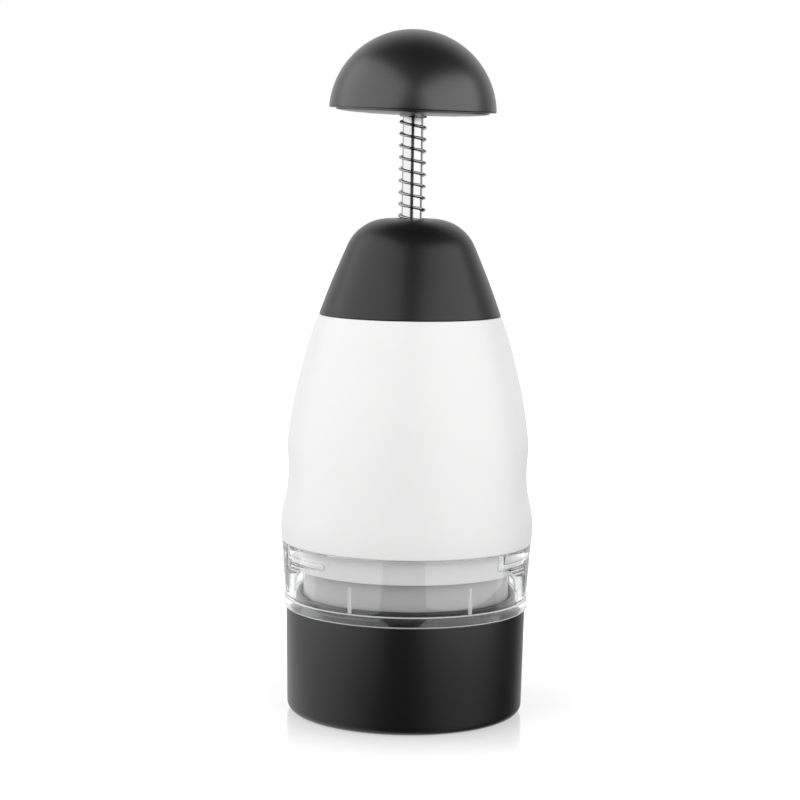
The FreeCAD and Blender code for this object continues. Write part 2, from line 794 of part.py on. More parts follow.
PIECES = {
    "base_cup": base_cup,
    "clear_chamber": clear_chamber,
    "front_grip_shell": lambda: grip_shell(-1),
    "rear_grip_shell": lambda: grip_shell(1),
    "front_hinge_pin": lambda: hinge_pin(-1),
    "rear_hinge_pin": lambda: hinge_pin(1),
    "shoulder_cover": shoulder_cover,
    "top_frame": top_frame,
    "cover_screws": cover_screws,
    "guide_bush": guide_bush,
    "lower_spring_seat": lower_spring_seat,
    "cam_sleeve": cam_sleeve,
    "guide_cap": guide_cap,
    "knob_shell": knob_shell,
    "knob_underplate": knob_underplate,
    "underplate_screws": underplate_screws,
    "upper_spring_washer": upper_spring_washer,
    "return_spring": return_spring,
    "plunger_rod": plunger_rod,
    "rod_top_washer": rod_top_washer,
    "rod_top_screw": rod_top_screw,
    "follower_pin": follower_pin,
    "stop_clip": stop_clip,
    "bump_washer": bump_washer,
    "blade_carrier": blade_carrier,
    "carrier_pin": carrier_pin,
    "zigzag_blade": zigzag_blade,
}


def main():
    """Write every piece to its own file."""
    os.makedirs("parts", exist_ok=True)
    for name, make in PIECES.items():
        shape = make()
        box = shape.BoundBox
        print(f"{name:22s} valid {shape.isValid()} solids {len(shape.Solids)} "
              f"volume {shape.Volume:9.1f} z {box.ZMin:7.2f} to {box.ZMax:7.2f}")
        shape.exportStep(f"parts/{name}.step")


main()
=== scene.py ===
"""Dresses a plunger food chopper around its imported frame, in a plain studio.

Sizes are in metres, and angles are in degrees where nothing says radians.
"""

import logging
import math
from dataclasses import dataclass, field
from enum import Enum
from typing import Callable, Sequence

import bpy
from mathutils import Matrix, Vector


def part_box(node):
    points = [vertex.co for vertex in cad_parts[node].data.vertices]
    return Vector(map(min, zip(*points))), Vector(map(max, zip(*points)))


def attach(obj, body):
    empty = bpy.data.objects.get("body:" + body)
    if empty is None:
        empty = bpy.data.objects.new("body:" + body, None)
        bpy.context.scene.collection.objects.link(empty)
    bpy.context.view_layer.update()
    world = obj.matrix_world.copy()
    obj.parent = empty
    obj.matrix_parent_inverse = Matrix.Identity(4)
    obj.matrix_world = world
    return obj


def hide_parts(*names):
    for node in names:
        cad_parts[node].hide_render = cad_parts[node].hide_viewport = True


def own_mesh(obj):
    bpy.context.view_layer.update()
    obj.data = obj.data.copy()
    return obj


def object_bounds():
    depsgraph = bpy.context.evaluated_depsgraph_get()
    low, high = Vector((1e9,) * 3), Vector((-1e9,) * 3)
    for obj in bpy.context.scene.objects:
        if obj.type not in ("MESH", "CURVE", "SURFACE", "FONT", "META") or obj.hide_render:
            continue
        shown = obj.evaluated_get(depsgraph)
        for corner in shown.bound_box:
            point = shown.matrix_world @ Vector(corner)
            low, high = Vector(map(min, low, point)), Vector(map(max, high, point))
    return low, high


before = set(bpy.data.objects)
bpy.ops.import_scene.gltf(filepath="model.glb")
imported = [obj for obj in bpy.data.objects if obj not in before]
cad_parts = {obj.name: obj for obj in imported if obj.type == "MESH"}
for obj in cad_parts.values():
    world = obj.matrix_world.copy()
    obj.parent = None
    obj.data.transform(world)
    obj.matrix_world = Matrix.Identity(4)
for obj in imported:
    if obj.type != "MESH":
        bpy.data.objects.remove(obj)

CAD_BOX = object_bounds()
MM = 0.001
UP = Vector((0, 0, 1))
LATHE_STEPS = 240               # faces around a turned piece
ARC_STEP = 11                   # degrees between two points of a rounded corner
MERGE = 0.002 * MM              # points nearer than this are one
LUG_ANGLES = (-10, 46.5, 170, 226.5)    # the bayonet's lugs and tracks, about the axis
log = logging.getLogger("chopper")

Test = Callable[[Vector], bool]
Point = tuple[float, float]
Colour = tuple[float, float, float]
Given = float | Sequence[float] | bpy.types.NodeSocket


class Body(str, Enum):
    """Rigid bodies of the frame."""

    CUP = "cup"
    CHAMBER = "chamber"
    HOUSING = "housing"
    SPRING_HEAD = "spring_head"
    KNOB = "knob"
    ROTOR = "rotor"


class Slot(str, Enum):
    """Material slots of the record."""

    BLACK = "black_plastic"
    WHITE = "white_plastic"
    CLEAR = "clear_plastic"
    INNER = "inner_plastic"
    POLISHED = "polished_steel"
    STEEL = "steel"
    SPRING = "spring_steel"
    BLADE = "blade_steel"
    RUBBER = "rubber"


# ---- Outlines ----

@dataclass(frozen=True)
class Corner:
    """A corner of an outline, with the radius that rounds it."""

    out: float
    up: float
    round: float = 0.0

    def point(self) -> Vector:
        """The corner as a point in the XZ plane."""
        return Vector((self.out, 0, self.up))


def rounded(before: Vector, corner: Vector, after: Vector, radius: float) -> list[Vector]:
    """Points of the arc that rounds one corner of a path.

    Args:
        before: The point before the corner.
        corner: The corner itself.
        after: The point after it.
        radius: Radius of the arc.

    Returns:
        The arc's points, from the first side to the second.
    """
    back = (before - corner).normalized()
    ahead = (after - corner).normalized()
    half = back.angle(ahead) / 2
    reach = radius / math.tan(half)
    centre = corner + (back + ahead).normalized() * (radius / math.sin(half))
    start = corner + back * reach - centre
    turn = math.pi - 2 * half
    axis = back.cross(ahead).normalized() * -1
    steps = max(2, round(math.degrees(turn) / ARC_STEP))
    return [centre + Matrix.Rotation(turn * i / steps, 3, axis) @ start for i in range(steps + 1)]


def arc(centre: Point, radius: float, start: float, end: float, steps: int) -> list[Corner]:
    """Corners along an arc of an outline.

    Args:
        centre: Radius and height of the arc's centre.
        radius: Its radius.
        start: First angle above the level, in radians.
        end: Last angle.
        steps: Faces along the arc.

    Returns:
        The corners, both ends among them.
    """
    angles = [start + (end - start) * step / steps for step in range(steps + 1)]
    return [Corner(centre[0] + radius * math.cos(a), centre[1] + radius * math.sin(a)) for a in angles]


def path_of(corners: Sequence[Corner], closed: bool) -> list[Vector]:
    """Turns corners into a path with its round corners drawn out.

    Args:
        corners: The corners in order.
        closed: Whether the path runs back to its start.

    Returns:
        The points of the path. A closed path ends on its first point.
    """
    points = [corner.point() for corner in corners]
    path: list[Vector] = []
    for index, corner in enumerate(corners):
        inside = closed or 0 < index < len(corners) - 1
        if corner.round > 0 and inside:
            after = points[(index + 1) % len(points)]
            path.extend(rounded(points[index - 1], points[index], after, corner.round))
        else:
            path.append(points[index])
    if closed:
        path.append(path[0].copy())
    return path


def curve_through(stations: Sequence[Point], steps: int) -> list[Corner]:
    """Smooth curve through stations, each a radius and a height.

    Args:
        stations: Radius and height of each station, from the bottom up.
        steps: Points drawn between two stations.

    Returns:
        Corners along the curve, the first and last station among them.
    """
    count = len(stations)
    slopes = []
    for i in range(count):
        low, high = max(i - 1, 0), min(i + 1, count - 1)
        slopes.append((stations[high][0] - stations[low][0]) / (stations[high][1] - stations[low][1]))
    corners = []
    for i in range(count - 1):
        (r0, z0), (r1, z1) = stations[i], stations[i + 1]
        rise = z1 - z0
        for step in range(steps):
            t = step / steps
            radius = ((2 * t ** 3 - 3 * t ** 2 + 1) * r0 + (t ** 3 - 2 * t ** 2 + t) * rise * slopes[i]
                      + (3 * t ** 2 - 2 * t ** 3) * r1 + (t ** 3 - t ** 2) * rise * slopes[i + 1])
            corners.append(Corner(radius, z0 + t * rise))
    corners.append(Corner(*stations[-1]))
    return corners


def azimuth(point: Vector) -> float:
    """Angle of a point about the chopper's axis, in degrees from +X."""
    return math.degrees(math.atan2(point.y, point.x))


def off_axis(point: Vector) -> float:
    """Distance of a point from the chopper's axis."""
    return math.hypot(point.x, point.y)


def between(angle: float, middle: float, half: float) -> bool:
    """Whether an angle lies within half a width of another, in degrees."""
    return abs((angle - middle + 180) % 360 - 180) <= half


# ---- Workshop ----

class Bench:
    """The workshop's own jobs: what a hand does with a tool on one piece."""

    @staticmethod
    def clear() -> None:
        """Leave object mode with nothing selected."""
        if bpy.context.mode != "OBJECT":
            bpy.ops.object.mode_set(mode="OBJECT")
        bpy.ops.object.select_all(action="DESELECT")

    @staticmethod
    def take(piece: bpy.types.Object) -> None:
        """Make one piece the only one selected.

        Args:
            piece: The piece to select.
        """
        Bench.clear()
        piece.select_set(True)
        bpy.context.view_layer.objects.active = piece

    @staticmethod
    def edit(piece: bpy.types.Object) -> None:
        """Open a piece for editing with all of it selected.

        Args:
            piece: The piece to open.
        """
        Bench.take(piece)
        bpy.ops.object.mode_set(mode="EDIT")
        bpy.ops.mesh.select_all(action="SELECT")

    @staticmethod
    def close(piece: bpy.types.Object) -> bpy.types.Object:
        """Merge doubled points, turn faces outward and put the origin at the middle of the base.

        Args:
            piece: The piece to close.

        Returns:
            The same piece.
        """
        Bench.edit(piece)
        bpy.ops.mesh.remove_doubles(threshold=MERGE)
        bpy.ops.mesh.normals_make_consistent(inside=False)
        bpy.ops.object.mode_set(mode="OBJECT")
        bpy.ops.object.transform_apply(location=True, rotation=True, scale=True)
        return piece

    @staticmethod
    def draw(name: str, path: Sequence[Vector]) -> bpy.types.Object:
        """Draw a chain of edges by pulling one point along a path. It stays open for editing.

        Args:
            name: Name of the new piece.
            path: Points of the chain.

        Returns:
            The piece, in edit mode.
        """
        Bench.clear()
        bpy.ops.mesh.primitive_plane_add(size=MM, location=path[0])
        piece = bpy.context.object
        piece.name = name
        piece.data.name = name
        bpy.ops.object.mode_set(mode="EDIT")
        bpy.ops.mesh.select_mode(type="VERT")
        bpy.ops.mesh.merge(type="CENTER")
        for start, end in zip(path, path[1:]):
            bpy.ops.mesh.extrude_region_move(TRANSFORM_OT_translate={"value": end - start})
        return piece

    @staticmethod
    def turn(name: str, corners: Sequence[Corner], closed: bool = True,
             steps: int = LATHE_STEPS) -> bpy.types.Object:
        """Turn an outline about the chopper's axis.

        Args:
            name: Name of the new piece.
            corners: Its outline. An open one starts and ends on the axis.
            closed: Whether the outline is a ring.
            steps: Faces around the piece.

        Returns:
            The turned piece.
        """
        piece = Bench.draw(name, path_of(corners, closed))
        bpy.ops.mesh.select_all(action="SELECT")
        bpy.ops.mesh.spin(steps=steps, angle=2 * math.pi, center=(0, 0, 0), axis=(0, 0, 1))
        return Bench.close(piece)

    @staticmethod
    def pick_faces(piece: bpy.types.Object, test: Test) -> int:
        """Select the faces whose middles pass a test, and stay in edit mode.

        Args:
            piece: The piece to work on.
            test: Says yes for a face's middle.

        Returns:
            How many faces were picked.
        """
        Bench.edit(piece)
        bpy.ops.mesh.select_all(action="DESELECT")
        bpy.ops.mesh.select_mode(type="FACE")
        bpy.ops.object.mode_set(mode="OBJECT")
        picked = 0
        for polygon in piece.data.polygons:
            polygon.select = test(polygon.center)
            picked += polygon.select
        bpy.ops.object.mode_set(mode="EDIT")
        return picked

    @staticmethod
    def push(piece: bpy.types.Object, test: Test, distance: float) -> None:
        """Extrude picked faces along their normals.

        Args:
            piece: The piece to work on.
            test: Says yes for the middle of a face to push.
            distance: Outward if positive.
        """
        if Bench.pick_faces(piece, test):
            bpy.ops.mesh.extrude_region_shrink_fatten(TRANSFORM_OT_shrink_fatten={"value": distance})
        bpy.ops.object.mode_set(mode="OBJECT")

    @staticmethod
    def cut_away(piece: bpy.types.Object, place: Vector, normal: Vector) -> None:
        """Bisect a piece, drop what lies on the normal's side and close the cut.

        Args:
            piece: The piece to cut.
            place: A point of the cutting plane.
            normal: Points at what is dropped.
        """
        Bench.edit(piece)
        bpy.ops.mesh.bisect(plane_co=place, plane_no=normal, use_fill=True, clear_outer=True)
        bpy.ops.object.mode_set(mode="OBJECT")

    @staticmethod
    def modify(piece: bpy.types.Object, kind: str, **settings: object) -> None:
        """Add a modifier, set it and apply it.

        Args:
            piece: The piece to work on.
            kind: Blender's name for the modifier's type.
            settings: Its settings.
        """
        Bench.take(piece)
        modifier = piece.modifiers.new(kind.lower(), kind)
        for key, value in settings.items():
            setattr(modifier, key, value)
        bpy.ops.object.modifier_apply(modifier=modifier.name)

    @staticmethod
    def ease_edges(piece: bpy.types.Object, width: float, sharper_than: float) -> None:
        """Bevel every edge that turns by more than an angle in degrees.

        Args:
            piece: The piece to work on.
            width: Width of the bevel.
            sharper_than: Smallest turn that is bevelled.
        """
        Bench.modify(piece, "BEVEL", width=width, segments=2, limit_method="ANGLE",
                     angle_limit=math.radians(sharper_than), use_clamp_overlap=True)

    @staticmethod
    def smooth(piece: bpy.types.Object, angle: float) -> None:
        """Shade a piece smooth, with edges sharper than the angle in degrees left crisp."""
        Bench.take(piece)
        bpy.ops.object.shade_smooth_by_angle(angle=math.radians(angle))

    @staticmethod
    def copy(piece: bpy.types.Object, name: str) -> bpy.types.Object:
        """Copy a piece with a mesh of its own.

        Args:
            piece: The piece to copy.
            name: Name of the copy.

        Returns:
            The copy.
        """
        copy = piece.copy()
        copy.data = piece.data.copy()
        copy.name = name
        bpy.context.scene.collection.objects.link(copy)
        return copy

    @staticmethod
    def join(name: str, pieces: Sequence[bpy.types.Object]) -> bpy.types.Object:
        """Join pieces into the first one.

        Args:
            name: Name of the whole.
            pieces: Two or more pieces.

        Returns:
            The first piece, which holds them all.
        """
        Bench.clear()
        for piece in pieces:
            piece.select_set(True)
        bpy.context.view_layer.objects.active = pieces[0]
        bpy.ops.object.join()
        pieces[0].name = name
        return pieces[0]

    @staticmethod
    def combine(piece: bpy.types.Object, other: bpy.types.Object, operation: str) -> None:
        """Unite a piece with another or cut it by that one, which is then gone.

        Args:
            piece: The piece that stays.
            other: The tool.
            operation: UNION or DIFFERENCE.
        """
        Bench.modify(piece, "BOOLEAN", object=other, operation=operation, solver="EXACT")
        bpy.data.objects.remove(other)


def fit(piece: bpy.types.Object, body: Body, slot: Slot, material: bpy.types.Material,
        *nodes: str, crisp: float = 32) -> bpy.types.Object:
    """Shade a finished piece, give it its material and its body, and hide the nodes that it stands for.

    Args:
        piece: The finished piece.
        body: The body that it moves with.
        slot: The record's slot that its finish comes from. Not used.
        material: Its material.
        nodes: CAD nodes that it replaces.
        crisp: Edges that turn by more degrees than this stay crisp.

    Returns:
        The same piece.
    """
    Bench.smooth(piece, crisp)
    piece.data.materials.clear()
    piece.data.materials.append(material)
    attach(piece, body.value)
    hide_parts(*nodes)
    log.info("%s: %d faces on %s", piece.name, len(piece.data.polygons), body.value)
    return piece


# ---- Finishes ----

class Nodes:
    """Short hand for building a node tree."""

    def __init__(self, tree: bpy.types.NodeTree) -> None:
        """Start with an empty tree."""
        self.tree = tree
        tree.nodes.clear()

    def add(self, kind: str, inputs: dict[str | int, Given] | None = None,
            **settings: object) -> bpy.types.Node:
        """Add a node.

        Args:
            kind: Its type without the ShaderNode in front, or a group's input or output.
            inputs: What feeds its inputs, by name or number.
            settings: Properties of the node, set before its inputs are fed.

        Returns:
            The node.
        """
        node = self.tree.nodes.new(kind if kind.startswith("Node") else "ShaderNode" + kind)
        for key, value in settings.items():
            setattr(node, key, value)
        for key, given in (inputs or {}).items():
            if isinstance(given, bpy.types.NodeSocket):
                self.tree.links.new(given, node.inputs[key])
            else:
                node.inputs[key].default_value = given
        return node

    def noise(self, vector: bpy.types.NodeSocket, scale: Given, detail: float,
              roughness: float = 0.5) -> bpy.types.NodeSocket:
        """Add a noise texture.

        Args:
            vector: Its coordinates.
            scale: Its scale, a number or a socket.
            detail: Octaves.
            roughness: Weight of the finer octaves.

        Returns:
            Its value, about 0.5 on average.
        """
        node = self.add("TexNoise", {"Vector": vector, "Scale": scale, "Detail": detail,
                                     "Roughness": roughness})
        return node.outputs["Fac"]

    def math(self, operation: str, *values: Given) -> bpy.types.NodeSocket:
        """Add a math node.

        Args:
            operation: ADD, MULTIPLY and so on.
            values: Numbers or sockets.

        Returns:
            The result.
        """
        return self.add("Math", dict(enumerate(values)), operation=operation).outputs[0]

    def fade(self, value: bpy.types.NodeSocket, near: Point, far: Point) -> bpy.types.NodeSocket:
        """Map a value from one level to another.

        Args:
            value: The value.
            near: A first value and its level.
            far: A second value and its level.

        Returns:
            The level, held at both ends.
        """
        node = self.add("MapRange", {"Value": value, "From Min": near[0], "To Min": near[1],
                                     "From Max": far[0], "To Max": far[1]})
        return node.outputs["Result"]


def start_skin(name: str, own_input: str, kind: str) -> tuple[Nodes, bpy.types.Node]:
    """Start a shader node group for a skin.

    Args:
        name: Name of the group.
        own_input: The one input that only this skin has.
        kind: That input's socket type.

    Returns:
        The group's tree, with its sockets made, and its input node.
    """
    tree = bpy.data.node_groups.new(name, "ShaderNodeTree")
    inputs = {"Vector": "NodeSocketVector", own_input: kind, "Gloss": "NodeSocketFloat",
              "Gloss Spread": "NodeSocketFloat"}
    for socket, socket_kind in inputs.items():
        tree.interface.new_socket(socket, in_out="INPUT", socket_type=socket_kind)
    for socket in ("Roughness", "Height", "Tone"):
        tree.interface.new_socket(socket, in_out="OUTPUT", socket_type="NodeSocketFloat")
    nodes = Nodes(tree)
    return nodes, nodes.add("NodeGroupInput")


def close_skin(nodes: Nodes, given: bpy.types.Node, marks: bpy.types.NodeSocket,
               height: bpy.types.NodeSocket, tone: bpy.types.NodeSocket) -> bpy.types.NodeTree:
    """Put out a skin's values. Its gloss varies with the marks on it.

    Args:
        nodes: The group's tree.
        given: Its input node.
        marks: About 0.5 on average.
        height: Height of the relief.
        tone: Share of the lighter colour.

    Returns:
        The finished node group.
    """
    uneven = nodes.math("MULTIPLY", nodes.math("SUBTRACT", marks, 0.5), given.outputs["Gloss Spread"])
    gloss = nodes.math("ADD", given.outputs["Gloss"], uneven)
    nodes.add("NodeGroupOutput", {"Roughness": gloss, "Height": height, "Tone": tone})
    return nodes.tree


def moulded_skin() -> bpy.types.NodeTree:
    """Build the skin of moulded plastic: faint waviness, fine grain and uneven gloss.

    Returns:
        The node group.
    """
    nodes, given = start_skin("moulded skin", "Grain Scale", "NodeSocketFloat")
    vector = given.outputs["Vector"]
    grain_share = 0.25
    grain = nodes.noise(vector, scale=given.outputs["Grain Scale"], detail=2)
    waves = nodes.noise(vector, scale=55, detail=1)
    handling = nodes.noise(vector, scale=28, detail=5, roughness=0.6)
    flow = nodes.noise(vector, scale=9, detail=2)
    height = nodes.math("ADD", nodes.math("MULTIPLY", grain, grain_share), waves)
    return close_skin(nodes, given, handling, height, flow)


def machined_lines() -> bpy.types.NodeTree:
    """Build the fine parallel lines that drawing, turning and rolling leave on steel.

    Returns:
        The node group.
    """
    nodes, given = start_skin("machined lines", "Stretch", "NodeSocketVector")
    vector = given.outputs["Vector"]
    stretched = nodes.add("VectorMath", {0: vector, 1: given.outputs["Stretch"]}, operation="MULTIPLY")
    line_share, stain_share = 0.7, 0.3
    lines = nodes.noise(stretched.outputs[0], scale=1, detail=3, roughness=0.65)
    stain = nodes.noise(vector, scale=45, detail=4)
    marks = nodes.math("ADD", nodes.math("MULTIPLY", lines, line_share),
                       nodes.math("MULTIPLY", stain, stain_share))
    return close_skin(nodes, given, marks, lines, marks)


@dataclass(frozen=True)
class Finish:
    """A material with two tones, an uneven gloss and a relief, all from a skin's node group."""

    name: str
    light: Colour
    dark: Colour
    gloss: float
    spread: float
    relief: float

    def own_inputs(self) -> dict[str, Given]:
        """The input that only this finish's skin has."""
        return {}

    def constants(self) -> dict[str, float]:
        """Plain values on the shader's own sockets."""
        return {}

    def surface(self, nodes: Nodes, shader: bpy.types.NodeSocket) -> bpy.types.NodeSocket:
        """What goes to the material's output."""
        return shader

    def material(self, skin: bpy.types.NodeTree) -> bpy.types.Material:
        """Build the material.

        Args:
            skin: The node group that it wears.

        Returns:
            The material.
        """
        made = bpy.data.materials.new(self.name)
        made.use_nodes = True
        nodes = Nodes(made.node_tree)
        where = nodes.add("TexCoord")
        group = nodes.add("Group", {
            "Vector": where.outputs["Object"], "Gloss": self.gloss, "Gloss Spread": self.spread,
            **self.own_inputs()}, node_tree=skin)
        mix = nodes.add("Mix", {
            "Factor": group.outputs["Tone"], "A": (*self.dark, 1), "B": (*self.light, 1)},
            data_type="RGBA")
        bump = nodes.add("Bump", {
            "Strength": 1.0, "Distance": self.relief, "Height": group.outputs["Height"]})
        shader = nodes.add("BsdfPrincipled", {
            "Base Color": mix.outputs["Result"], "Roughness": group.outputs["Roughness"],
            "Normal": bump.outputs["Normal"], **self.constants()})
        nodes.add("OutputMaterial", {"Surface": self.surface(nodes, shader.outputs["BSDF"])})
        return made


@dataclass(frozen=True)
class Plastic(Finish):
    """Moulded plastic or rubber."""

    spread: float = 0.06
    relief: float = 0.004 * MM
    grain: float = 1500
    ior: float = 1.5
    sheen: float = 0.0

    def own_inputs(self) -> dict[str, Given]:
        """The scale of its grain."""
        return {"Grain Scale": self.grain}

    def constants(self) -> dict[str, float]:
        """How it bends light, and its sheen."""
        return {"IOR": self.ior, "Sheen Weight": self.sheen}


@dataclass(frozen=True)
class ClearPlastic(Finish):
    """Clear plastic with a faint waviness from the mould, polished, or milky to paint highlights."""

    spread: float = 0.015
    relief: float = 0.002 * MM
    grain: float = 900
    ior: float = 1.49
    clearness: float = 1.0
    shade: Colour = (0.9, 0.9, 0.9)

    def own_inputs(self) -> dict[str, Given]:
        """The scale of its grain."""
        return {"Grain Scale": self.grain}

    def constants(self) -> dict[str, float]:
        """How it bends light, and how much passes."""
        return {"IOR": self.ior, "Transmission Weight": self.clearness}

    def surface(self, nodes: Nodes, shader: bpy.types.NodeSocket) -> bpy.types.NodeSocket:
        """Let shadow rays and diffuse rays pass straight, so that what is inside is lit evenly.

        Args:
            nodes: The material's tree.
            shader: What the plastic shows to the eye.

        Returns:
            The mixed shader.
        """
        ray = nodes.add("LightPath")
        straight = nodes.math("MAXIMUM", ray.outputs["Is Shadow Ray"], ray.outputs["Is Diffuse Ray"])
        through = nodes.add("BsdfTransparent", {"Color": (*self.shade, 1)})
        mix = nodes.add("MixShader", {0: straight, 1: shader, 2: through.outputs["BSDF"]})
        return mix.outputs["Shader"]


@dataclass(frozen=True)
class Metal(Finish):
    """Bright metal with machining lines, which the stretch draws out."""

    stretch: tuple[float, float, float]

    def own_inputs(self) -> dict[str, Given]:
        """How its lines are drawn out."""
        return {"Stretch": self.stretch}

    def constants(self) -> dict[str, float]:
        """Metal through and through."""
        return {"Metallic": 1.0}


class Finishes:
    """Every material of the chopper, built once."""

    def __init__(self) -> None:
        """Build the shared groups and the materials."""
        skin = moulded_skin()
        lines = machined_lines()
        self.knob = Plastic("black knob plastic", (0.007, 0.007, 0.0075), (0.0045, 0.0045, 0.005),
                            0.34, ior=1.74).material(skin)
        self.cup = Plastic("black cup plastic", (0.0045, 0.0045, 0.005), (0.003, 0.003, 0.0035),
                           0.34, ior=1.54).material(skin)
        self.cover = Plastic("black cover plastic", (0.006, 0.006, 0.0065), (0.004, 0.004, 0.0045),
                             0.36, ior=1.46).material(skin)
        self.white = Plastic("white plastic", (0.83, 0.83, 0.83), (0.805, 0.805, 0.80),
                             0.36, ior=1.46).material(skin)
        # Grey plastic of the inner parts: its own grey, darkened further to paint the shade that the neck
        # casts on the carrier's skirt.
        self.inner = Plastic("inner plastic", (0.52, 0.52, 0.515), (0.48, 0.48, 0.475),
                             0.5, grain=2600).material(skin)
        self.clear = ClearPlastic("clear plastic", (0.95, 0.955, 0.955), (0.95, 0.955, 0.955),
                                  0.02).material(skin)
        # Milky plastic that paints highlights on the clear ring's foot, bead step and ribs.
        self.painted_highlight = ClearPlastic("frosted plastic", (0.8, 0.8, 0.8), (0.8, 0.8, 0.8),
                                    0.4, clearness=0.45).material(skin)
        self.rubber = Plastic("rubber", (0.03, 0.03, 0.03), (0.02, 0.02, 0.02),
                              0.75, sheen=0.2).material(skin)
        self.polished = Metal("polished steel", (0.54, 0.54, 0.54), (0.5, 0.5, 0.505),
                              0.18, 0.05, 0.0006 * MM, (120, 120, 4000)).material(lines)
        self.steel = Metal("bright steel", (0.66, 0.66, 0.67), (0.55, 0.55, 0.56),
                           0.25, 0.12, 0.002 * MM, (900, 900, 3000)).material(lines)
        self.spring = Metal("spring steel", (0.36, 0.36, 0.365), (0.28, 0.28, 0.285),
                            0.18, 0.1, 0.001 * MM, (700, 700, 5000)).material(lines)
        self.blade = Metal("blade steel", (0.82, 0.82, 0.83), (0.72, 0.72, 0.73),
                           0.5, 0.14, 0.0015 * MM, (60, 60, 6000)).material(lines)


# ---- Cup ----

@dataclass
class Cup:
    """The black cup that catches the food, with the collar that plugs into the ring."""

    finishes: Finishes
    wall: float = 3.9 * MM
    floor: float = 2.6 * MM
    foot_radius: float = 41.6 * MM
    foot_round: float = 3.3 * MM
    foot_ring: float = 4.0 * MM
    foot_recess: float = 0.5 * MM
    inside_round: float = 4.0 * MM
    shoulder_height: float = 37.6 * MM
    collar_radius: float = 39.4 * MM
    collar_wall: float = 1.6 * MM
    edge: float = 0.25 * MM

    def build(self) -> bpy.types.Object:
        """Turn the cup and dress it.

        Returns:
            The cup.
        """
        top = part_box("base_cup")[1].z
        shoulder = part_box("base_cup")[1].x
        bore = self.collar_radius - self.collar_wall
        inner_foot = self.foot_radius - self.wall
        ring_inner = self.foot_radius - self.foot_round - self.foot_ring
        outline = [
            Corner(0, self.foot_recess),
            Corner(ring_inner, self.foot_recess, self.edge),
            Corner(ring_inner + self.foot_recess, 0, self.edge),
            Corner(self.foot_radius, 0, self.foot_round),
            Corner(shoulder, self.shoulder_height, self.edge),
            Corner(self.collar_radius, self.shoulder_height, self.edge),
            Corner(self.collar_radius, top, 2 * self.edge),
            Corner(bore, top, 2 * self.edge),
            Corner(inner_foot, self.floor, self.inside_round),
            Corner(0, self.floor)]
        piece = Bench.turn("cup", outline, closed=False)
        return fit(piece, Body.CUP, Slot.BLACK, self.finishes.cup, "base_cup")


# ---- Clear ring ----

@dataclass
class ChamberRing:
    """The clear ring: beaded foot, bayonet tracks at its rim and six thin ribs inside."""

    finishes: Finishes
    bore: float = 40.6 * MM
    foot_radius: float = 42.7 * MM
    bead: float = 0.35 * MM
    bead_height: float = 3.6 * MM
    foot_round: float = 0.5 * MM
    twist: float = 30.0
    track_half_slack: float = 1.8
    track_depth: float = 0.45 * MM
    track_low: float = 54.85 * MM
    track_high: float = 56.95 * MM
    rib_low: float = 41.4 * MM
    rib_high: float = 50.5 * MM
    rib_depth: float = 0.85 * MM
    rib_count: int = 6
    rib_phase: float = 1.6
    rib_half_width: float = 0.7
    rim_lift: float = 0.2 * MM
    edge: float = 0.18 * MM
    on_bore: float = 0.1 * MM       # faces this near the bore lie on it
    off_bore: float = 0.05 * MM     # faces further in than this are a rib's
    foot_skin: float = 0.15 * MM    # faces this near the outside are the bead's

    def build(self) -> bpy.types.Object:
        """Turn the ring, sink its tracks, raise its ribs and dress it.

        Returns:
            The ring.
        """
        low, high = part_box("clear_chamber")
        rim_radius = high.x
        bead_top = low.z + self.bead_height
        outline = [
            Corner(self.bore, low.z),
            Corner(self.foot_radius + self.bead, low.z, self.foot_round),
            Corner(self.foot_radius + self.bead, bead_top),
            Corner(self.foot_radius, bead_top + self.bead),
            Corner(rim_radius, high.z + self.rim_lift),
            Corner(self.bore, high.z + self.rim_lift),
            Corner(self.bore, self.track_high),
            Corner(self.bore, self.track_low),
            Corner(self.bore, self.rib_high),
            Corner(self.bore, self.rib_low)]
        piece = Bench.turn("clear_ring", outline)
        Bench.push(piece, self.in_track, -self.track_depth)
        Bench.push(piece, self.in_rib, self.rib_depth)
        Bench.ease_edges(piece, self.edge, sharper_than=30)
        fit(piece, Body.CHAMBER, Slot.CLEAR, self.finishes.clear, "clear_chamber", crisp=30)
        return self.paint_highlights(piece, low.z + self.foot_round, bead_top)

    def paint_highlights(self, piece: bpy.types.Object, foot: float, bead_top: float) -> bpy.types.Object:
        """Paint highlights on the rounded foot, the top step of the bead and the ribs with milky plastic.

        Args:
            piece: The ring.
            foot: Height where its rounded foot ends.
            bead_top: Height where the step on its bead starts.

        Returns:
            The same ring.
        """
        # The milky plastic paints highlights on these faces.
        piece.data.materials.append(self.finishes.painted_highlight)
        for polygon in piece.data.polygons:
            away, up = off_axis(polygon.center), polygon.center.z
            edge = up < foot or bead_top < up < bead_top + self.bead
            rib = away < self.bore - self.off_bore and self.rib_low < up < self.rib_high
            if rib or edge and away > self.foot_radius - self.foot_skin:
                polygon.material_index = 1
        return piece

    def in_track(self, point: Vector) -> bool:
        """Whether a point lies on the bore, in a bayonet track or in its mouth at the rim.

        Args:
            point: A point of the ring.

        Returns:
            True if it does.
        """
        if off_axis(point) > self.bore + self.on_bore or point.z < self.track_low:
            return False
        turned, half = self.twist, self.track_half_slack
        if point.z < self.track_high:
            turned, half = self.twist / 2, self.twist / 2 + self.track_half_slack
        return any(between(azimuth(point), lug - turned, half) for lug in LUG_ANGLES)

    def in_rib(self, point: Vector) -> bool:
        """Whether a point lies on the bore, under a rib.

        Args:
            point: A point of the ring.

        Returns:
            True if it does.
        """
        if off_axis(point) > self.bore + self.on_bore or not self.rib_low < point.z < self.rib_high:
            return False
        return any(between(azimuth(point), angle + self.rib_phase, self.rib_half_width)
                   for angle in range(0, 360, 360 // self.rib_count))


# ---- Grip ----

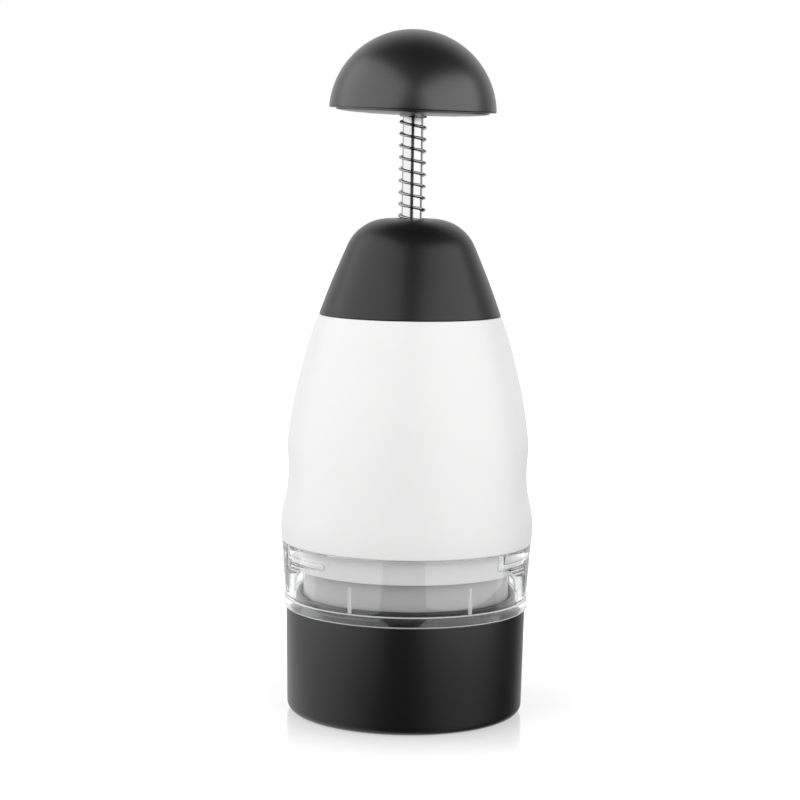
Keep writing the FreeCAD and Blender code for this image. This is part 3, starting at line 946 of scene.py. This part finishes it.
@dataclass
class Grip:
    """The white grip: two half shells with their half necks, bayonet lugs and finger scoops."""

    finishes: Finishes
    lug_half_width: float = 1.5
    lug_low: float = 55.15 * MM
    lug_high: float = 56.65 * MM
    lug_reach: float = 0.6 * MM
    neck_radius: float = 40.25 * MM
    neck_wall: float = 2.2 * MM
    neck_low: float = 52.05 * MM
    neck_skin: float = 0.2 * MM     # faces this near the neck's outside lie on it
    foot: float = 61.05 * MM
    foot_radius: float = 44.3 * MM
    foot_round: float = 0.7 * MM
    wall: float = 2.4 * MM
    stations: tuple[Point, ...] = (
        (44.55 * MM, 66.4 * MM), (44.35 * MM, 73.0 * MM), (43.65 * MM, 84.25 * MM),
        (42.55 * MM, 96.25 * MM), (40.4 * MM, 110.85 * MM), (37.1 * MM, 124.85 * MM),
        (34.4 * MM, 134.4 * MM), (31.95 * MM, 140.85 * MM))
    web_hole: float = 16.5 * MM
    split: float = 0.1 * MM
    scoop_depth: float = 1.6 * MM
    scoop_height: float = 82.8 * MM
    scoop_half_height: float = 13.6 * MM
    scoop_half_angle: float = 37.0
    scoop_softness: float = 1.5     # power that lets the scoop run out at its rim
    edge: float = 0.3 * MM
    split_edge: float = 0.22 * MM

    def build(self) -> list[bpy.types.Object]:
        """Turn the grip, scoop its sides, split it into halves and dress them.

        Returns:
            The front half and the rear half.
        """
        top_radius, top = self.stations[-1]
        outer = curve_through(self.stations, steps=6)
        inner = [Corner(c.out - self.wall, c.up) for c in outer if c.up < top - self.wall]
        inner.reverse()
        neck_bore = self.neck_radius - self.neck_wall
        outline = [
            Corner(neck_bore, self.neck_low, self.edge),
            Corner(self.neck_radius, self.neck_low, self.edge),
            Corner(self.neck_radius, self.lug_low),
            Corner(self.neck_radius, self.lug_high),
            Corner(self.neck_radius, self.foot),
            Corner(self.foot_radius, self.foot, self.foot_round),
            *outer[:-1],
            Corner(top_radius, top, self.edge),
            Corner(self.web_hole, top),
            Corner(self.web_hole, top - self.wall),
            Corner(top_radius - self.wall, top - self.wall),
            *inner,
            Corner(neck_bore, self.foot + self.wall)]
        whole = Bench.turn("grip", outline)
        Bench.push(whole, self.on_lug, self.lug_reach)
        self.scoop(whole)
        halves = []
        for name, side in (("front_grip", -1), ("rear_grip", 1)):
            half = Bench.copy(whole, name)
            Bench.cut_away(half, Vector((0, side * self.split, 0)), Vector((0, -side, 0)))
            Bench.close(half)
            Bench.ease_edges(half, self.split_edge, sharper_than=50)
            halves.append(fit(half, Body.HOUSING, Slot.WHITE, self.finishes.white, f"{name}_shell",
                              crisp=40))
        bpy.data.objects.remove(whole)
        return halves

    def on_lug(self, point: Vector) -> bool:
        """Whether a point lies on the outside of the neck, under a bayonet lug.

        Args:
            point: A point of the grip.

        Returns:
            True if it does.
        """
        on_neck = abs(off_axis(point) - self.neck_radius) < self.neck_skin
        if not on_neck or not self.lug_low < point.z < self.lug_high:
            return False
        return any(between(azimuth(point), lug, self.lug_half_width) for lug in LUG_ANGLES)

    def scoop_share(self, point: Vector, side: int) -> float:
        """How deep the finger scoop is at a point, from 0 to 1.

        Args:
            point: A point of the grip.
            side: 1 for the scoop at the right, -1 for the left.

        Returns:
            The share of the scoop's depth.
        """
        up = (point.z - self.scoop_height) / self.scoop_half_height
        around = math.degrees(math.atan2(point.y, side * point.x)) / self.scoop_half_angle
        if abs(up) >= 1 or abs(around) >= 1:
            return 0.0
        return ((1 - up * up) * (1 - around * around)) ** self.scoop_softness

    def scoop(self, whole: bpy.types.Object) -> None:
        """Press the two finger scoops in with a weighted displacement.

        Args:
            whole: The turned grip.
        """
        for side in (-1, 1):
            group = whole.vertex_groups.new(name=f"scoop {side}")
            for vertex in whole.data.vertices:
                share = self.scoop_share(vertex.co, side)
                if share > 0:
                    group.add([vertex.index], share, "REPLACE")
            Bench.modify(whole, "DISPLACE", direction="X", strength=-side * self.scoop_depth,
                         mid_level=0.0, vertex_group=group.name)
        whole.vertex_groups.clear()


# ---- Cover ----

@dataclass
class Cover:
    """The black cone over the grip, with the hole that the spring passes."""

    finishes: Finishes
    wall: float = 2.2 * MM
    foot_radius: float = 31.95 * MM
    flank_middle: Point = (27.5 * MM, 152.8 * MM)
    flank_end: Point = (22.55 * MM, 164.65 * MM)
    crown_round: float = 16.0 * MM
    hole_radius: float = 5.4 * MM
    edge: float = 0.3 * MM

    def build(self) -> bpy.types.Object:
        """Turn the cover and dress it.

        Returns:
            The cover.
        """
        low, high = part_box("shoulder_cover")
        outer = self.skin(low.z, high.z, 0)
        inner = self.skin(low.z, high.z, self.wall)
        inner.reverse()
        outline = [*outer, Corner(self.hole_radius, high.z, 2 * self.edge),
                   Corner(self.hole_radius, high.z - self.wall, self.edge), *inner]
        piece = Bench.turn("cover", outline)
        return fit(piece, Body.HOUSING, Slot.BLACK, self.finishes.cover, "shoulder_cover")

    def skin(self, foot: float, top: float, inset: float) -> list[Corner]:
        """Flank and crown of the cover, drawn in by an inset.

        Args:
            foot: Height of its lower edge.
            top: Height of its flat top.
            inset: How far the skin is drawn in.

        Returns:
            Corners from the lower edge up.
        """
        end_radius, end_height = self.flank_end
        stations = ((self.foot_radius, foot), self.flank_middle, self.flank_end)
        flank = [Corner(c.out - inset, c.up) for c in curve_through(stations, steps=4)[:-1]]
        flank[0] = Corner(flank[0].out, flank[0].up, self.edge)
        centre_up = top - self.crown_round
        slope = math.asin((end_height - centre_up) / self.crown_round)
        centre_out = end_radius - self.crown_round * math.cos(slope)
        return flank + arc((centre_out, centre_up), self.crown_round - inset, slope, math.pi / 2, steps=12)


# ---- Knob ----

@dataclass
class Knob:
    """The domed knob: its shell, the plate under it and the plate's three screws."""

    finishes: Finishes
    ball_radius: float = 29.2 * MM
    rim_round: float = 0.6 * MM
    rim_lift: float = 0.3 * MM
    wall: float = 2.4 * MM
    recess: float = 3.6 * MM
    plate: float = 2.6 * MM
    belly: float = 1.5 * MM
    belly_radius: float = 26.9 * MM
    pocket: float = 6.4 * MM
    bush_radius: float = 7.0 * MM
    bush_bore: float = 3.35 * MM
    lean: tuple[float, float] = (0.7, 1.4)
    lean_height: float = 218.0 * MM
    drop: float = 0.02 * MM         # how far the bush's play lets it down
    screw_circle: float = 18.0 * MM
    screw_angles: tuple[float, ...] = (90, 210, 330)
    screw_turn: float = 0.7         # radians from one screw's cross to the next
    head_radius: float = 2.6 * MM
    head_recess: float = 1.3 * MM
    head_round: float = 0.5 * MM
    shank_radius: float = 1.4 * MM
    tip_round: float = 0.4 * MM
    cross: tuple[float, float, float] = (3.2 * MM, 0.6 * MM, 1.6 * MM)
    edge: float = 0.2 * MM

    def build(self) -> list[bpy.types.Object]:
        """Turn the shell and the plate, make the screws, and let them lean by the bush's play.

        Returns:
            The shell, the plate and the screws.
        """
        pieces = [self.shell(), self.underplate(), self.screws()]
        pivot = Matrix.Translation(UP * self.lean_height)
        tilt = Matrix.Rotation(math.radians(self.lean[0]), 4, "X") @ Matrix.Rotation(
            math.radians(self.lean[1]), 4, "Y")
        for piece in pieces:
            piece.data.transform(Matrix.Translation(UP * -self.drop) @ pivot @ tilt @ pivot.inverted())
        return pieces

    def shell(self) -> bpy.types.Object:
        """Turn the dome, from its crown down the outside, round the rim and up the inside.

        Returns:
            The dome.
        """
        low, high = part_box("knob_shell")
        crown, centre = math.pi / 2, high.z - self.ball_radius
        foot, seat = low.z + self.rim_lift, low.z + self.recess
        rim_up = foot + self.rim_round - centre
        rim_out = math.sqrt((self.ball_radius - self.rim_round) ** 2 - rim_up ** 2)
        meet = math.atan2(rim_up, rim_out)
        inner = self.ball_radius - self.wall
        outline = [
            *arc((0, centre), self.ball_radius, crown, meet, steps=28),
            *arc((rim_out, centre + rim_up), self.rim_round, meet, -crown, steps=7)[1:],
            Corner(inner, foot, self.edge),
            Corner(inner, seat),
            *arc((0, centre), inner, math.asin((seat - centre) / inner), crown, steps=20)]
        piece = Bench.turn("knob_dome", outline, closed=False)
        return fit(piece, Body.KNOB, Slot.BLACK, self.finishes.knob, "knob_shell")

    def underplate(self) -> bpy.types.Object:
        """Turn the plate with its bulging underside, spring pocket and bush, and sink its screw seats.

        Returns:
            The plate.
        """
        low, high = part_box("knob_underplate")
        radius, steps = high.x, 14
        rings = [self.pocket + (radius - self.pocket) * step / steps for step in range(steps + 1)]
        outline = [
            Corner(self.bush_bore, low.z, self.edge),
            Corner(self.pocket, low.z),
            *[Corner(out, self.underside(out)) for out in rings],
            Corner(radius, low.z + self.plate),
            Corner(self.bush_radius, low.z + self.plate),
            Corner(self.bush_radius, high.z, self.edge),
            Corner(self.bush_bore, high.z, self.edge)]
        piece = Bench.turn("knob_plate", outline, steps=144)
        for place in self.screw_places():
            Bench.clear()
            bpy.ops.mesh.primitive_cylinder_add(vertices=40, radius=self.head_radius + self.edge,
                                                depth=2 * self.head_recess, location=place)
            Bench.combine(piece, Bench.close(bpy.context.object), "DIFFERENCE")
        return fit(piece, Body.KNOB, Slot.BLACK, self.finishes.knob, "knob_underplate")

    def underside(self, out: float) -> float:
        """Height of the plate's bulging lower face.

        Args:
            out: Distance from the axis.

        Returns:
            The height there.
        """
        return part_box("knob_shell")[0].z - self.belly * math.sqrt(1 - (out / self.belly_radius) ** 2)

    def screw_places(self) -> list[Vector]:
        """Where the plate's screws stand, on its lower face."""
        ahead = Vector((self.screw_circle, 0, self.underside(self.screw_circle)))
        return [Matrix.Rotation(math.radians(angle), 3, "Z") @ ahead for angle in self.screw_angles]

    def screws(self) -> bpy.types.Object:
        """Model one cross-head screw, copy it to its places and join the copies.

        Returns:
            The three screws as one piece.
        """
        low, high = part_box("underplate_screws")
        tip = high.z - low.z
        outline = [
            Corner(0, 0),
            Corner(self.head_radius, 0, self.head_round),
            Corner(self.head_radius, self.head_recess),
            Corner(self.shank_radius, self.head_recess),
            Corner(self.shank_radius, tip, self.tip_round),
            Corner(0, tip)]
        master = Bench.turn("plate_screws", outline, closed=False, steps=40)
        for angle in (0, 90):
            Bench.clear()
            bpy.ops.mesh.primitive_cube_add(size=1)
            slot = bpy.context.object
            slot.scale = self.cross
            slot.rotation_euler.z = math.radians(angle)
            Bench.combine(master, Bench.close(slot), "DIFFERENCE")
        copies = []
        for index, place in enumerate(self.screw_places()):
            copy = Bench.copy(master, "plate_screws")
            turn = Matrix.Rotation(index * self.screw_turn, 4, "Z")
            copy.data.transform(Matrix.Translation(place) @ turn)
            copies.append(copy)
        bpy.data.objects.remove(master)
        piece = Bench.join("plate_screws", copies)
        return fit(piece, Body.KNOB, Slot.STEEL, self.finishes.steel, "underplate_screws")


# ---- Plunger ----

@dataclass
class Plunger:
    """The polished rod, its return spring and the washer under the knob."""

    finishes: Finishes
    rod_radius: float = 3.65 * MM
    neck_radius: float = 3.0 * MM
    shoulder: float = 212.05 * MM
    shoulder_round: float = 0.15 * MM
    chamfer: float = 0.4 * MM
    wire: float = 0.95 * MM
    coil_radius: float = 4.35 * MM
    pitch: float = 4.05 * MM
    dead_turns: float = 1.25
    dead_gap: float = 1.03          # pitch of the closed turns, in wire widths
    steps_in_turn: int = 44
    merge: float = 0.01 * MM        # points nearer than this join where the windings meet
    stroke: float = 34.0 * MM
    washer_bore: float = 3.8 * MM
    washer_edge: float = 0.15 * MM

    def build(self) -> list[bpy.types.Object]:
        """Turn the rod and the washer, wind the spring and dress them."""
        return [self.rod(), self.washer(), self.spring()]

    def rod(self) -> bpy.types.Object:
        """Turn the rod.

        Returns:
            The rod.
        """
        low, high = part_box("plunger_rod")
        outline = [
            Corner(0, low.z),
            Corner(self.rod_radius - self.chamfer, low.z),
            Corner(self.rod_radius, low.z + self.chamfer),
            Corner(self.rod_radius, self.shoulder, self.shoulder_round),
            Corner(self.neck_radius, self.shoulder),
            Corner(self.neck_radius, high.z, self.chamfer),
            Corner(0, high.z)]
        piece = Bench.turn("rod", outline, closed=False, steps=96)
        return fit(piece, Body.ROTOR, Slot.POLISHED, self.finishes.polished, "plunger_rod")

    def washer(self) -> bpy.types.Object:
        """Turn the washer that the spring pushes on.

        Returns:
            The washer.
        """
        low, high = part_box("upper_spring_washer")
        sides = ((self.washer_bore, low.z), (high.x, low.z), (high.x, high.z), (self.washer_bore, high.z))
        outline = [Corner(out, up, self.washer_edge) for out, up in sides]
        piece = Bench.turn("spring_washer", outline, steps=64)
        return fit(piece, Body.SPRING_HEAD, Slot.STEEL, self.finishes.steel, "upper_spring_washer")

    def coil(self, angle: float, height: float, turns: float, pitch: float) -> bpy.types.Object:
        """Wind part of the spring, left-handed, with a screw modifier.

        Args:
            angle: Where the wire starts, in radians.
            height: Height of its centre there.
            turns: How many turns it makes.
            pitch: Rise in a turn.

        Returns:
            The open tube of wire.
        """
        Bench.clear()
        bpy.ops.mesh.primitive_circle_add(vertices=14, radius=self.wire / 2,
                                          location=(self.coil_radius, 0, height),
                                          rotation=(math.pi / 2, 0, 0))
        piece = bpy.context.object
        bpy.ops.object.transform_apply(location=True, rotation=True, scale=True)
        piece.data.transform(Matrix.Rotation(angle, 4, "Z"))
        steps = round(turns * self.steps_in_turn)
        Bench.modify(piece, "SCREW", axis="Z", angle=-2 * math.pi * turns, screw_offset=pitch * turns,
                     iterations=1, steps=steps, render_steps=steps, use_merge_vertices=False)
        return piece

    def spring(self) -> bpy.types.Object:
        """Wind the spring with closed ends.

        Returns:
            The spring.
        """
        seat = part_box("lower_spring_seat")[1].z
        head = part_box("upper_spring_washer")[0].z
        dead_pitch = self.wire * self.dead_gap
        dead_rise = dead_pitch * self.dead_turns
        active = head - seat - self.wire - 2 * dead_rise
        angle, height = 0.0, seat + self.wire / 2
        parts = []
        for turns, pitch in (
                (self.dead_turns, dead_pitch), (active / self.pitch, self.pitch),
                (self.dead_turns, dead_pitch)):
            parts.append(self.coil(angle, height, turns, pitch))
            angle -= 2 * math.pi * turns
            height += pitch * turns
        piece = Bench.join("spring", parts)
        Bench.edit(piece)
        bpy.ops.mesh.remove_doubles(threshold=self.merge)
        bpy.ops.mesh.fill_holes(sides=0)
        Bench.close(piece)
        fit(piece, Body.SPRING_HEAD, Slot.SPRING, self.finishes.spring, "return_spring", crisp=60)
        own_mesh(piece)
        return piece


# ---- Cutter ----

@dataclass
class Cutter:
    """The zigzag blade and the splash disc that carries it."""

    finishes: Finishes
    reach: float = 34.15 * MM
    facets: int = 5
    fold_pitch: float = 12.68 * MM
    phase: float = -5.0
    fold_round: float = 1.3 * MM
    strip: float = 0.8 * MM
    ground: float = 1.4 * MM
    ground_share: float = 0.18      # thickness left along the ground edge
    disc_low: float = 56.05 * MM
    disc_high: float = 58.65 * MM
    rim_high: float = 61.85 * MM
    rim_wall: float = 2.2 * MM
    skirt_low: float = 41.6 * MM
    skirt_wall: float = 1.4 * MM
    rib_width: float = 3.6 * MM
    rib_fold: float = 2.2 * MM
    rib_sink: float = 0.3 * MM
    boss_radius: float = 8.0 * MM
    rod_bore: float = 3.7 * MM
    edge: float = 0.4 * MM

    def build(self) -> list[bpy.types.Object]:
        """Fold the blade, turn the carrier and dress them."""
        return [self.blade(), self.carrier()]

    def folds(self, rounding: float) -> list[Vector]:
        """Path of the blade seen from above, its folds rounded.

        Args:
            rounding: Radius of the folds.

        Returns:
            Its points.
        """
        turn = Matrix.Rotation(math.radians(self.phase), 3, "Z")
        points = []
        for index in range(self.facets + 1):
            across = (index - self.facets / 2) * self.fold_pitch
            depth = math.sqrt(self.reach ** 2 - across ** 2)
            points.append(turn @ Vector((across, depth if index % 2 else -depth, 0)))
        path = [points[0]]
        for before, fold, after in zip(points, points[1:], points[2:]):
            path.extend(rounded(before, fold, after, rounding))
        path.append(points[-1])
        return path

    def band(self, name: str, heights: Sequence[float], width: float, rounding: float,
             edge_share: float = 1.0) -> bpy.types.Object:
        """Raise an upright band along the folds and give it its thickness.

        Args:
            name: Name of the piece.
            heights: Its rows from the bottom up.
            width: Its thickness.
            rounding: Radius of its folds.
            edge_share: Share of the thickness left along the lowest row.

        Returns:
            The closed band.
        """
        lift = UP * heights[0]
        piece = Bench.draw(name, [point + lift for point in self.folds(rounding)])
        bpy.ops.mesh.select_all(action="SELECT")
        for low, high in zip(heights, heights[1:]):
            bpy.ops.mesh.extrude_region_move(TRANSFORM_OT_translate={"value": UP * (high - low)})
        Bench.close(piece)
        group = piece.vertex_groups.new(name="thickness")
        for vertex in piece.data.vertices:
            lowest = vertex.co.z < heights[0] + MERGE
            group.add([vertex.index], edge_share if lowest else 1.0, "REPLACE")
        Bench.modify(piece, "SOLIDIFY", thickness=width, offset=0.0, use_even_offset=True,
                     use_rim=True, vertex_group=group.name)
        piece.vertex_groups.clear()
        return Bench.close(piece)

    def blade(self) -> bpy.types.Object:
        """Fold the blade with its ground edge.

        Returns:
            The blade.
        """
        low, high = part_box("zigzag_blade")
        rows = (low.z, low.z + self.ground, (low.z + high.z) / 2, high.z)
        piece = self.band("blade", rows, self.strip, self.fold_round, self.ground_share)
        return fit(piece, Body.ROTOR, Slot.BLADE, self.finishes.blade, "zigzag_blade", crisp=25)

    def carrier(self) -> bpy.types.Object:
        """Turn the splash disc with its skirt and add the ribs that hold the blade.

        Returns:
            The disc with its ribs.
        """
        low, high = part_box("blade_carrier")
        radius = high.x
        outline = [
            Corner(0, self.disc_low),
            Corner(radius - self.skirt_wall, self.disc_low, 2 * self.edge),
            Corner(radius - self.skirt_wall, self.skirt_low, self.edge),
            Corner(radius, self.skirt_low, self.edge),
            Corner(radius, self.rim_high, self.edge),
            Corner(radius - self.rim_wall, self.rim_high, self.edge),
            Corner(radius - self.rim_wall, self.disc_high, 2 * self.edge),
            Corner(self.boss_radius, self.disc_high, 4 * self.edge),
            Corner(self.boss_radius, high.z, self.edge),
            Corner(self.rod_bore, high.z),
            Corner(self.rod_bore, self.disc_high),
            Corner(0, self.disc_high)]
        piece = Bench.turn("blade_disc", outline, closed=False, steps=160)
        ribs = self.band("ribs", (low.z, self.disc_low + self.rib_sink), self.rib_width, self.rib_fold)
        Bench.combine(piece, ribs, "UNION")
        Bench.close(piece)
        return fit(piece, Body.ROTOR, Slot.INNER, self.finishes.inner, "blade_carrier")


# ---- What stays inside ----

@dataclass
class Insides:
    """Frame nodes that keep their own meshes and get a finish."""

    finishes: Finishes

    def dress(self) -> None:
        """Give each inner node its material."""
        by_finish = (
            (self.finishes.inner, Slot.INNER, ("top_frame", "guide_bush", "cam_sleeve", "guide_cap")),
            (self.finishes.rubber, Slot.RUBBER, ("bump_washer",)),
            (self.finishes.steel, Slot.STEEL, (
                "front_hinge_pin", "rear_hinge_pin", "cover_screws", "lower_spring_seat",
                "rod_top_washer", "rod_top_screw", "follower_pin", "stop_clip", "carrier_pin")))
        for material, slot, names in by_finish:
            for name in names:
                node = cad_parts[name]
                node.data.materials.clear()
                node.data.materials.append(material)
        log.info("insides: dressed")


# ---- Studio ----

@dataclass(frozen=True)
class Softbox:
    """A rectangular soft light aimed at the chopper from a side, right of the front, and a lift."""

    name: str
    side: float
    lift: float
    distance: float
    width: float
    height: float
    radiance: float

    def hang(self, target: Vector) -> None:
        """Hang the softbox at its direction from the target.

        Args:
            target: The point that it is aimed at.
        """
        side = Matrix.Rotation(math.radians(self.side), 3, "Z")
        lift = Matrix.Rotation(math.radians(-self.lift), 3, "X")
        away = side @ lift @ Vector((0, -1, 0))
        light = bpy.data.lights.new(self.name, "AREA")
        light.shape = "RECTANGLE"
        light.size = self.width
        light.size_y = self.height
        light.energy = self.radiance * math.pi * self.width * self.height
        lamp = bpy.data.objects.new(self.name, light)
        lamp.location = target + away * self.distance
        lamp.rotation_euler = (-away).to_track_quat("-Z", "Y").to_euler()
        lamp.visible_camera = False
        bpy.context.scene.collection.objects.link(lamp)


@dataclass
class Studio:
    """Pale floor, white backdrop, two softboxes and the camera."""

    camera_place: Vector = field(default_factory=lambda: Vector((-3.07 * MM, -807.4 * MM, 201.05 * MM)))
    camera_down: float = 6.385
    camera_roll: float = 0.886
    lens: float = 103.74
    sensor: float = 36
    sight: float = 20
    bounces: int = 24
    softboxes: tuple[Softbox, ...] = (
        Softbox("left softbox", -69, 25, 1.1, 2.7, 1.6, 1.66),
        Softbox("right softbox", 59, 19.5, 1.1, 2.1, 1.2, 1.9))
    # The walls' brightness around the room, from behind over the left, the front and the right.
    walls: tuple[Point, ...] = (
        (-180, 1.0), (-150, 0.85), (-120, 0.8), (-80, 0.74), (-50, 0.38), (-34, 0.12), (-15, 0.02),
        (12, 0.02), (25, 0.14), (40, 0.28), (58, 0.42), (76, 0.42), (92, 0.2), (106, 0.04),
        (133, 0.05), (150, 0.5), (165, 0.95), (180, 1.0))
    room_level: float = 0.18
    gap_end: Point = (0.3, 0.04)            # above the walls: how far back the dark gap reaches
    rear_start: Point = (0.85, 1.0)         # and where the white rear starts
    wall_fade: Point = (-0.12, 0.0)         # below this height only the walls are mirrored
    wall_top: Point = (-0.02, 1.0)          # and above this one only what is over them
    floor_size: float = 8
    floor_gap: float = 0.02 * MM
    floor_tone: float = 0.58
    mirror_gloss: float = 0.12
    mirror_near: Point = (42 * MM, 0.31)
    mirror_far: Point = (95 * MM, 0.0)
    glow_near: Point = (42 * MM, 0.44)
    glow_far: Point = (150 * MM, 1.0)

    def set_up(self) -> None:
        """Put the studio together."""
        self.floor()
        self.backdrop()
        target = Vector((0, 0, (CAD_BOX[0].z + CAD_BOX[1].z) / 2))
        for softbox in self.softboxes:
            softbox.hang(target)
        self.camera()
        bpy.context.scene.view_settings.view_transform = "Standard"
        paths = bpy.context.scene.cycles
        paths.max_bounces = paths.glossy_bounces = paths.transmission_bounces = self.bounces
        log.info("studio: ready")

    def camera(self) -> None:
        """Place the camera."""
        data = bpy.data.cameras.new("camera")
        data.lens = self.lens
        data.sensor_width = self.sensor
        data.clip_end = self.sight
        camera = bpy.data.objects.new("camera", data)
        tilt = Matrix.Rotation(math.radians(90 - self.camera_down), 4, "X")
        roll = Matrix.Rotation(math.radians(self.camera_roll), 4, "Z")
        camera.matrix_world = Matrix.Translation(self.camera_place) @ tilt @ roll
        bpy.context.scene.collection.objects.link(camera)
        bpy.context.scene.camera = camera

    def floor(self) -> None:
        """Lay a pale floor that keeps the chopper's shadow and a reflection that soon fades."""
        Bench.clear()
        bpy.ops.mesh.primitive_plane_add(size=self.floor_size,
                                         location=(0, 0, CAD_BOX[0].z - self.floor_gap))
        floor = bpy.context.object
        floor.name = "floor"
        floor.visible_glossy = False
        material = bpy.data.materials.new("pale floor")
        material.use_nodes = True
        nodes = Nodes(material.node_tree)
        where = nodes.add("TexCoord").outputs["Object"]
        away = nodes.add("VectorMath", {0: where}, operation="LENGTH").outputs["Value"]
        tone = self.floor_tone
        matt = nodes.add("BsdfDiffuse", {"Color": (tone, tone, tone, 1)})
        mirror = nodes.add("BsdfGlossy", {"Color": (1, 1, 1, 1), "Roughness": self.mirror_gloss})
        surface = nodes.add("MixShader", {0: nodes.fade(away, self.mirror_near, self.mirror_far),
                                          1: matt.outputs["BSDF"], 2: mirror.outputs["BSDF"]})
        rear = nodes.add("SeparateXYZ", {"Vector": where}).outputs["Y"]
        level = nodes.fade(away, self.glow_near, self.glow_far)
        seen = self.seen(nodes, nodes.add("LightPath"), rear)
        glow = nodes.add("Emission", {"Strength": nodes.math("MULTIPLY", seen, level)})
        both = nodes.add("AddShader", {0: surface.outputs["Shader"], 1: glow.outputs["Emission"]})
        nodes.add("OutputMaterial", {"Surface": both.outputs["Shader"]})
        floor.data.materials.append(material)

    @staticmethod
    def seen(nodes: Nodes, ray: bpy.types.Node, rear: bpy.types.NodeSocket) -> bpy.types.NodeSocket:
        """Whether the studio is seen, openly, through clear plastic or by its bent light from the rear.

        Args:
            nodes: The tree to add to.
            ray: Its light path node.
            rear: Positive behind the chopper.

        Returns:
            One if it is seen, zero if it is mirrored or lights something.
        """
        straight = nodes.math("LESS_THAN", ray.outputs["Glossy Depth"], 0.5)
        clear = nodes.math("MAXIMUM", straight, nodes.math("GREATER_THAN", rear, 0))
        through = nodes.math("MULTIPLY", ray.outputs["Is Transmission Ray"], clear)
        return nodes.math("MAXIMUM", ray.outputs["Is Camera Ray"], through)

    def wall_levels(self, nodes: Nodes, around: bpy.types.NodeSocket) -> bpy.types.NodeSocket:
        """Give the walls their levels around the room.

        Args:
            nodes: The tree to add to.
            around: Angle about the axis, from -pi to pi.

        Returns:
            The level at that angle.
        """
        turns = nodes.math("ADD", nodes.math("DIVIDE", around, 2 * math.pi), 0.5)
        walls = nodes.add("ValToRGB", {"Fac": turns})
        stops = walls.color_ramp.elements
        while len(stops) > 1:
            stops.remove(stops[-1])
        for index, (angle, level) in enumerate(self.walls):
            place = angle / 360 + 0.5
            stop = stops.new(place) if index else stops[0]
            stop.position = place
            stop.color = (level, level, level, 1)
        return walls.outputs["Color"]

    def backdrop(self) -> None:
        """Light the room: white where it is seen or looked through, walls and gaps where mirrored."""
        world = bpy.data.worlds.new("studio")
        bpy.context.scene.world = world
        world.use_nodes = True
        nodes = Nodes(world.node_tree)
        where = nodes.add("TexCoord")
        split = nodes.add("SeparateXYZ", {"Vector": where.outputs["Generated"]})
        across, rear, up = split.outputs["X"], split.outputs["Y"], split.outputs["Z"]
        walls = self.wall_levels(nodes, nodes.math("ARCTAN2", across, nodes.math("MULTIPLY", rear, -1)))
        above = nodes.fade(rear, self.gap_end, self.rear_start)
        height = nodes.fade(up, self.wall_fade, self.wall_top)
        low = nodes.math("MULTIPLY", walls, nodes.math("SUBTRACT", 1, height))
        mirrored = nodes.math("ADD", low, nodes.math("MULTIPLY", above, height))
        ray = nodes.add("LightPath")
        glossy = ray.outputs["Is Glossy Ray"]
        matt = nodes.math("MULTIPLY", nodes.math("SUBTRACT", 1, glossy), self.room_level)
        unseen = nodes.math("ADD", nodes.math("MULTIPLY", glossy, mirrored), matt)
        seen = self.seen(nodes, ray, rear)
        background = nodes.add("Background", {
            "Color": (1, 1, 1, 1), "Strength": nodes.math("MAXIMUM", seen, unseen)})
        nodes.add("OutputWorld", {"Surface": background.outputs["Background"]})


def main() -> None:
    """Build and dress the chopper, then set up the studio."""
    logging.basicConfig(level=logging.INFO, format="%(name)s %(message)s")
    finishes = Finishes()
    Cup(finishes).build()
    ChamberRing(finishes).build()
    Grip(finishes).build()
    Cover(finishes).build()
    Knob(finishes).build()
    Plunger(finishes).build()
    Cutter(finishes).build()
    Insides(finishes).dress()
    Studio().set_up()


if __name__ == "__main__":
    main()
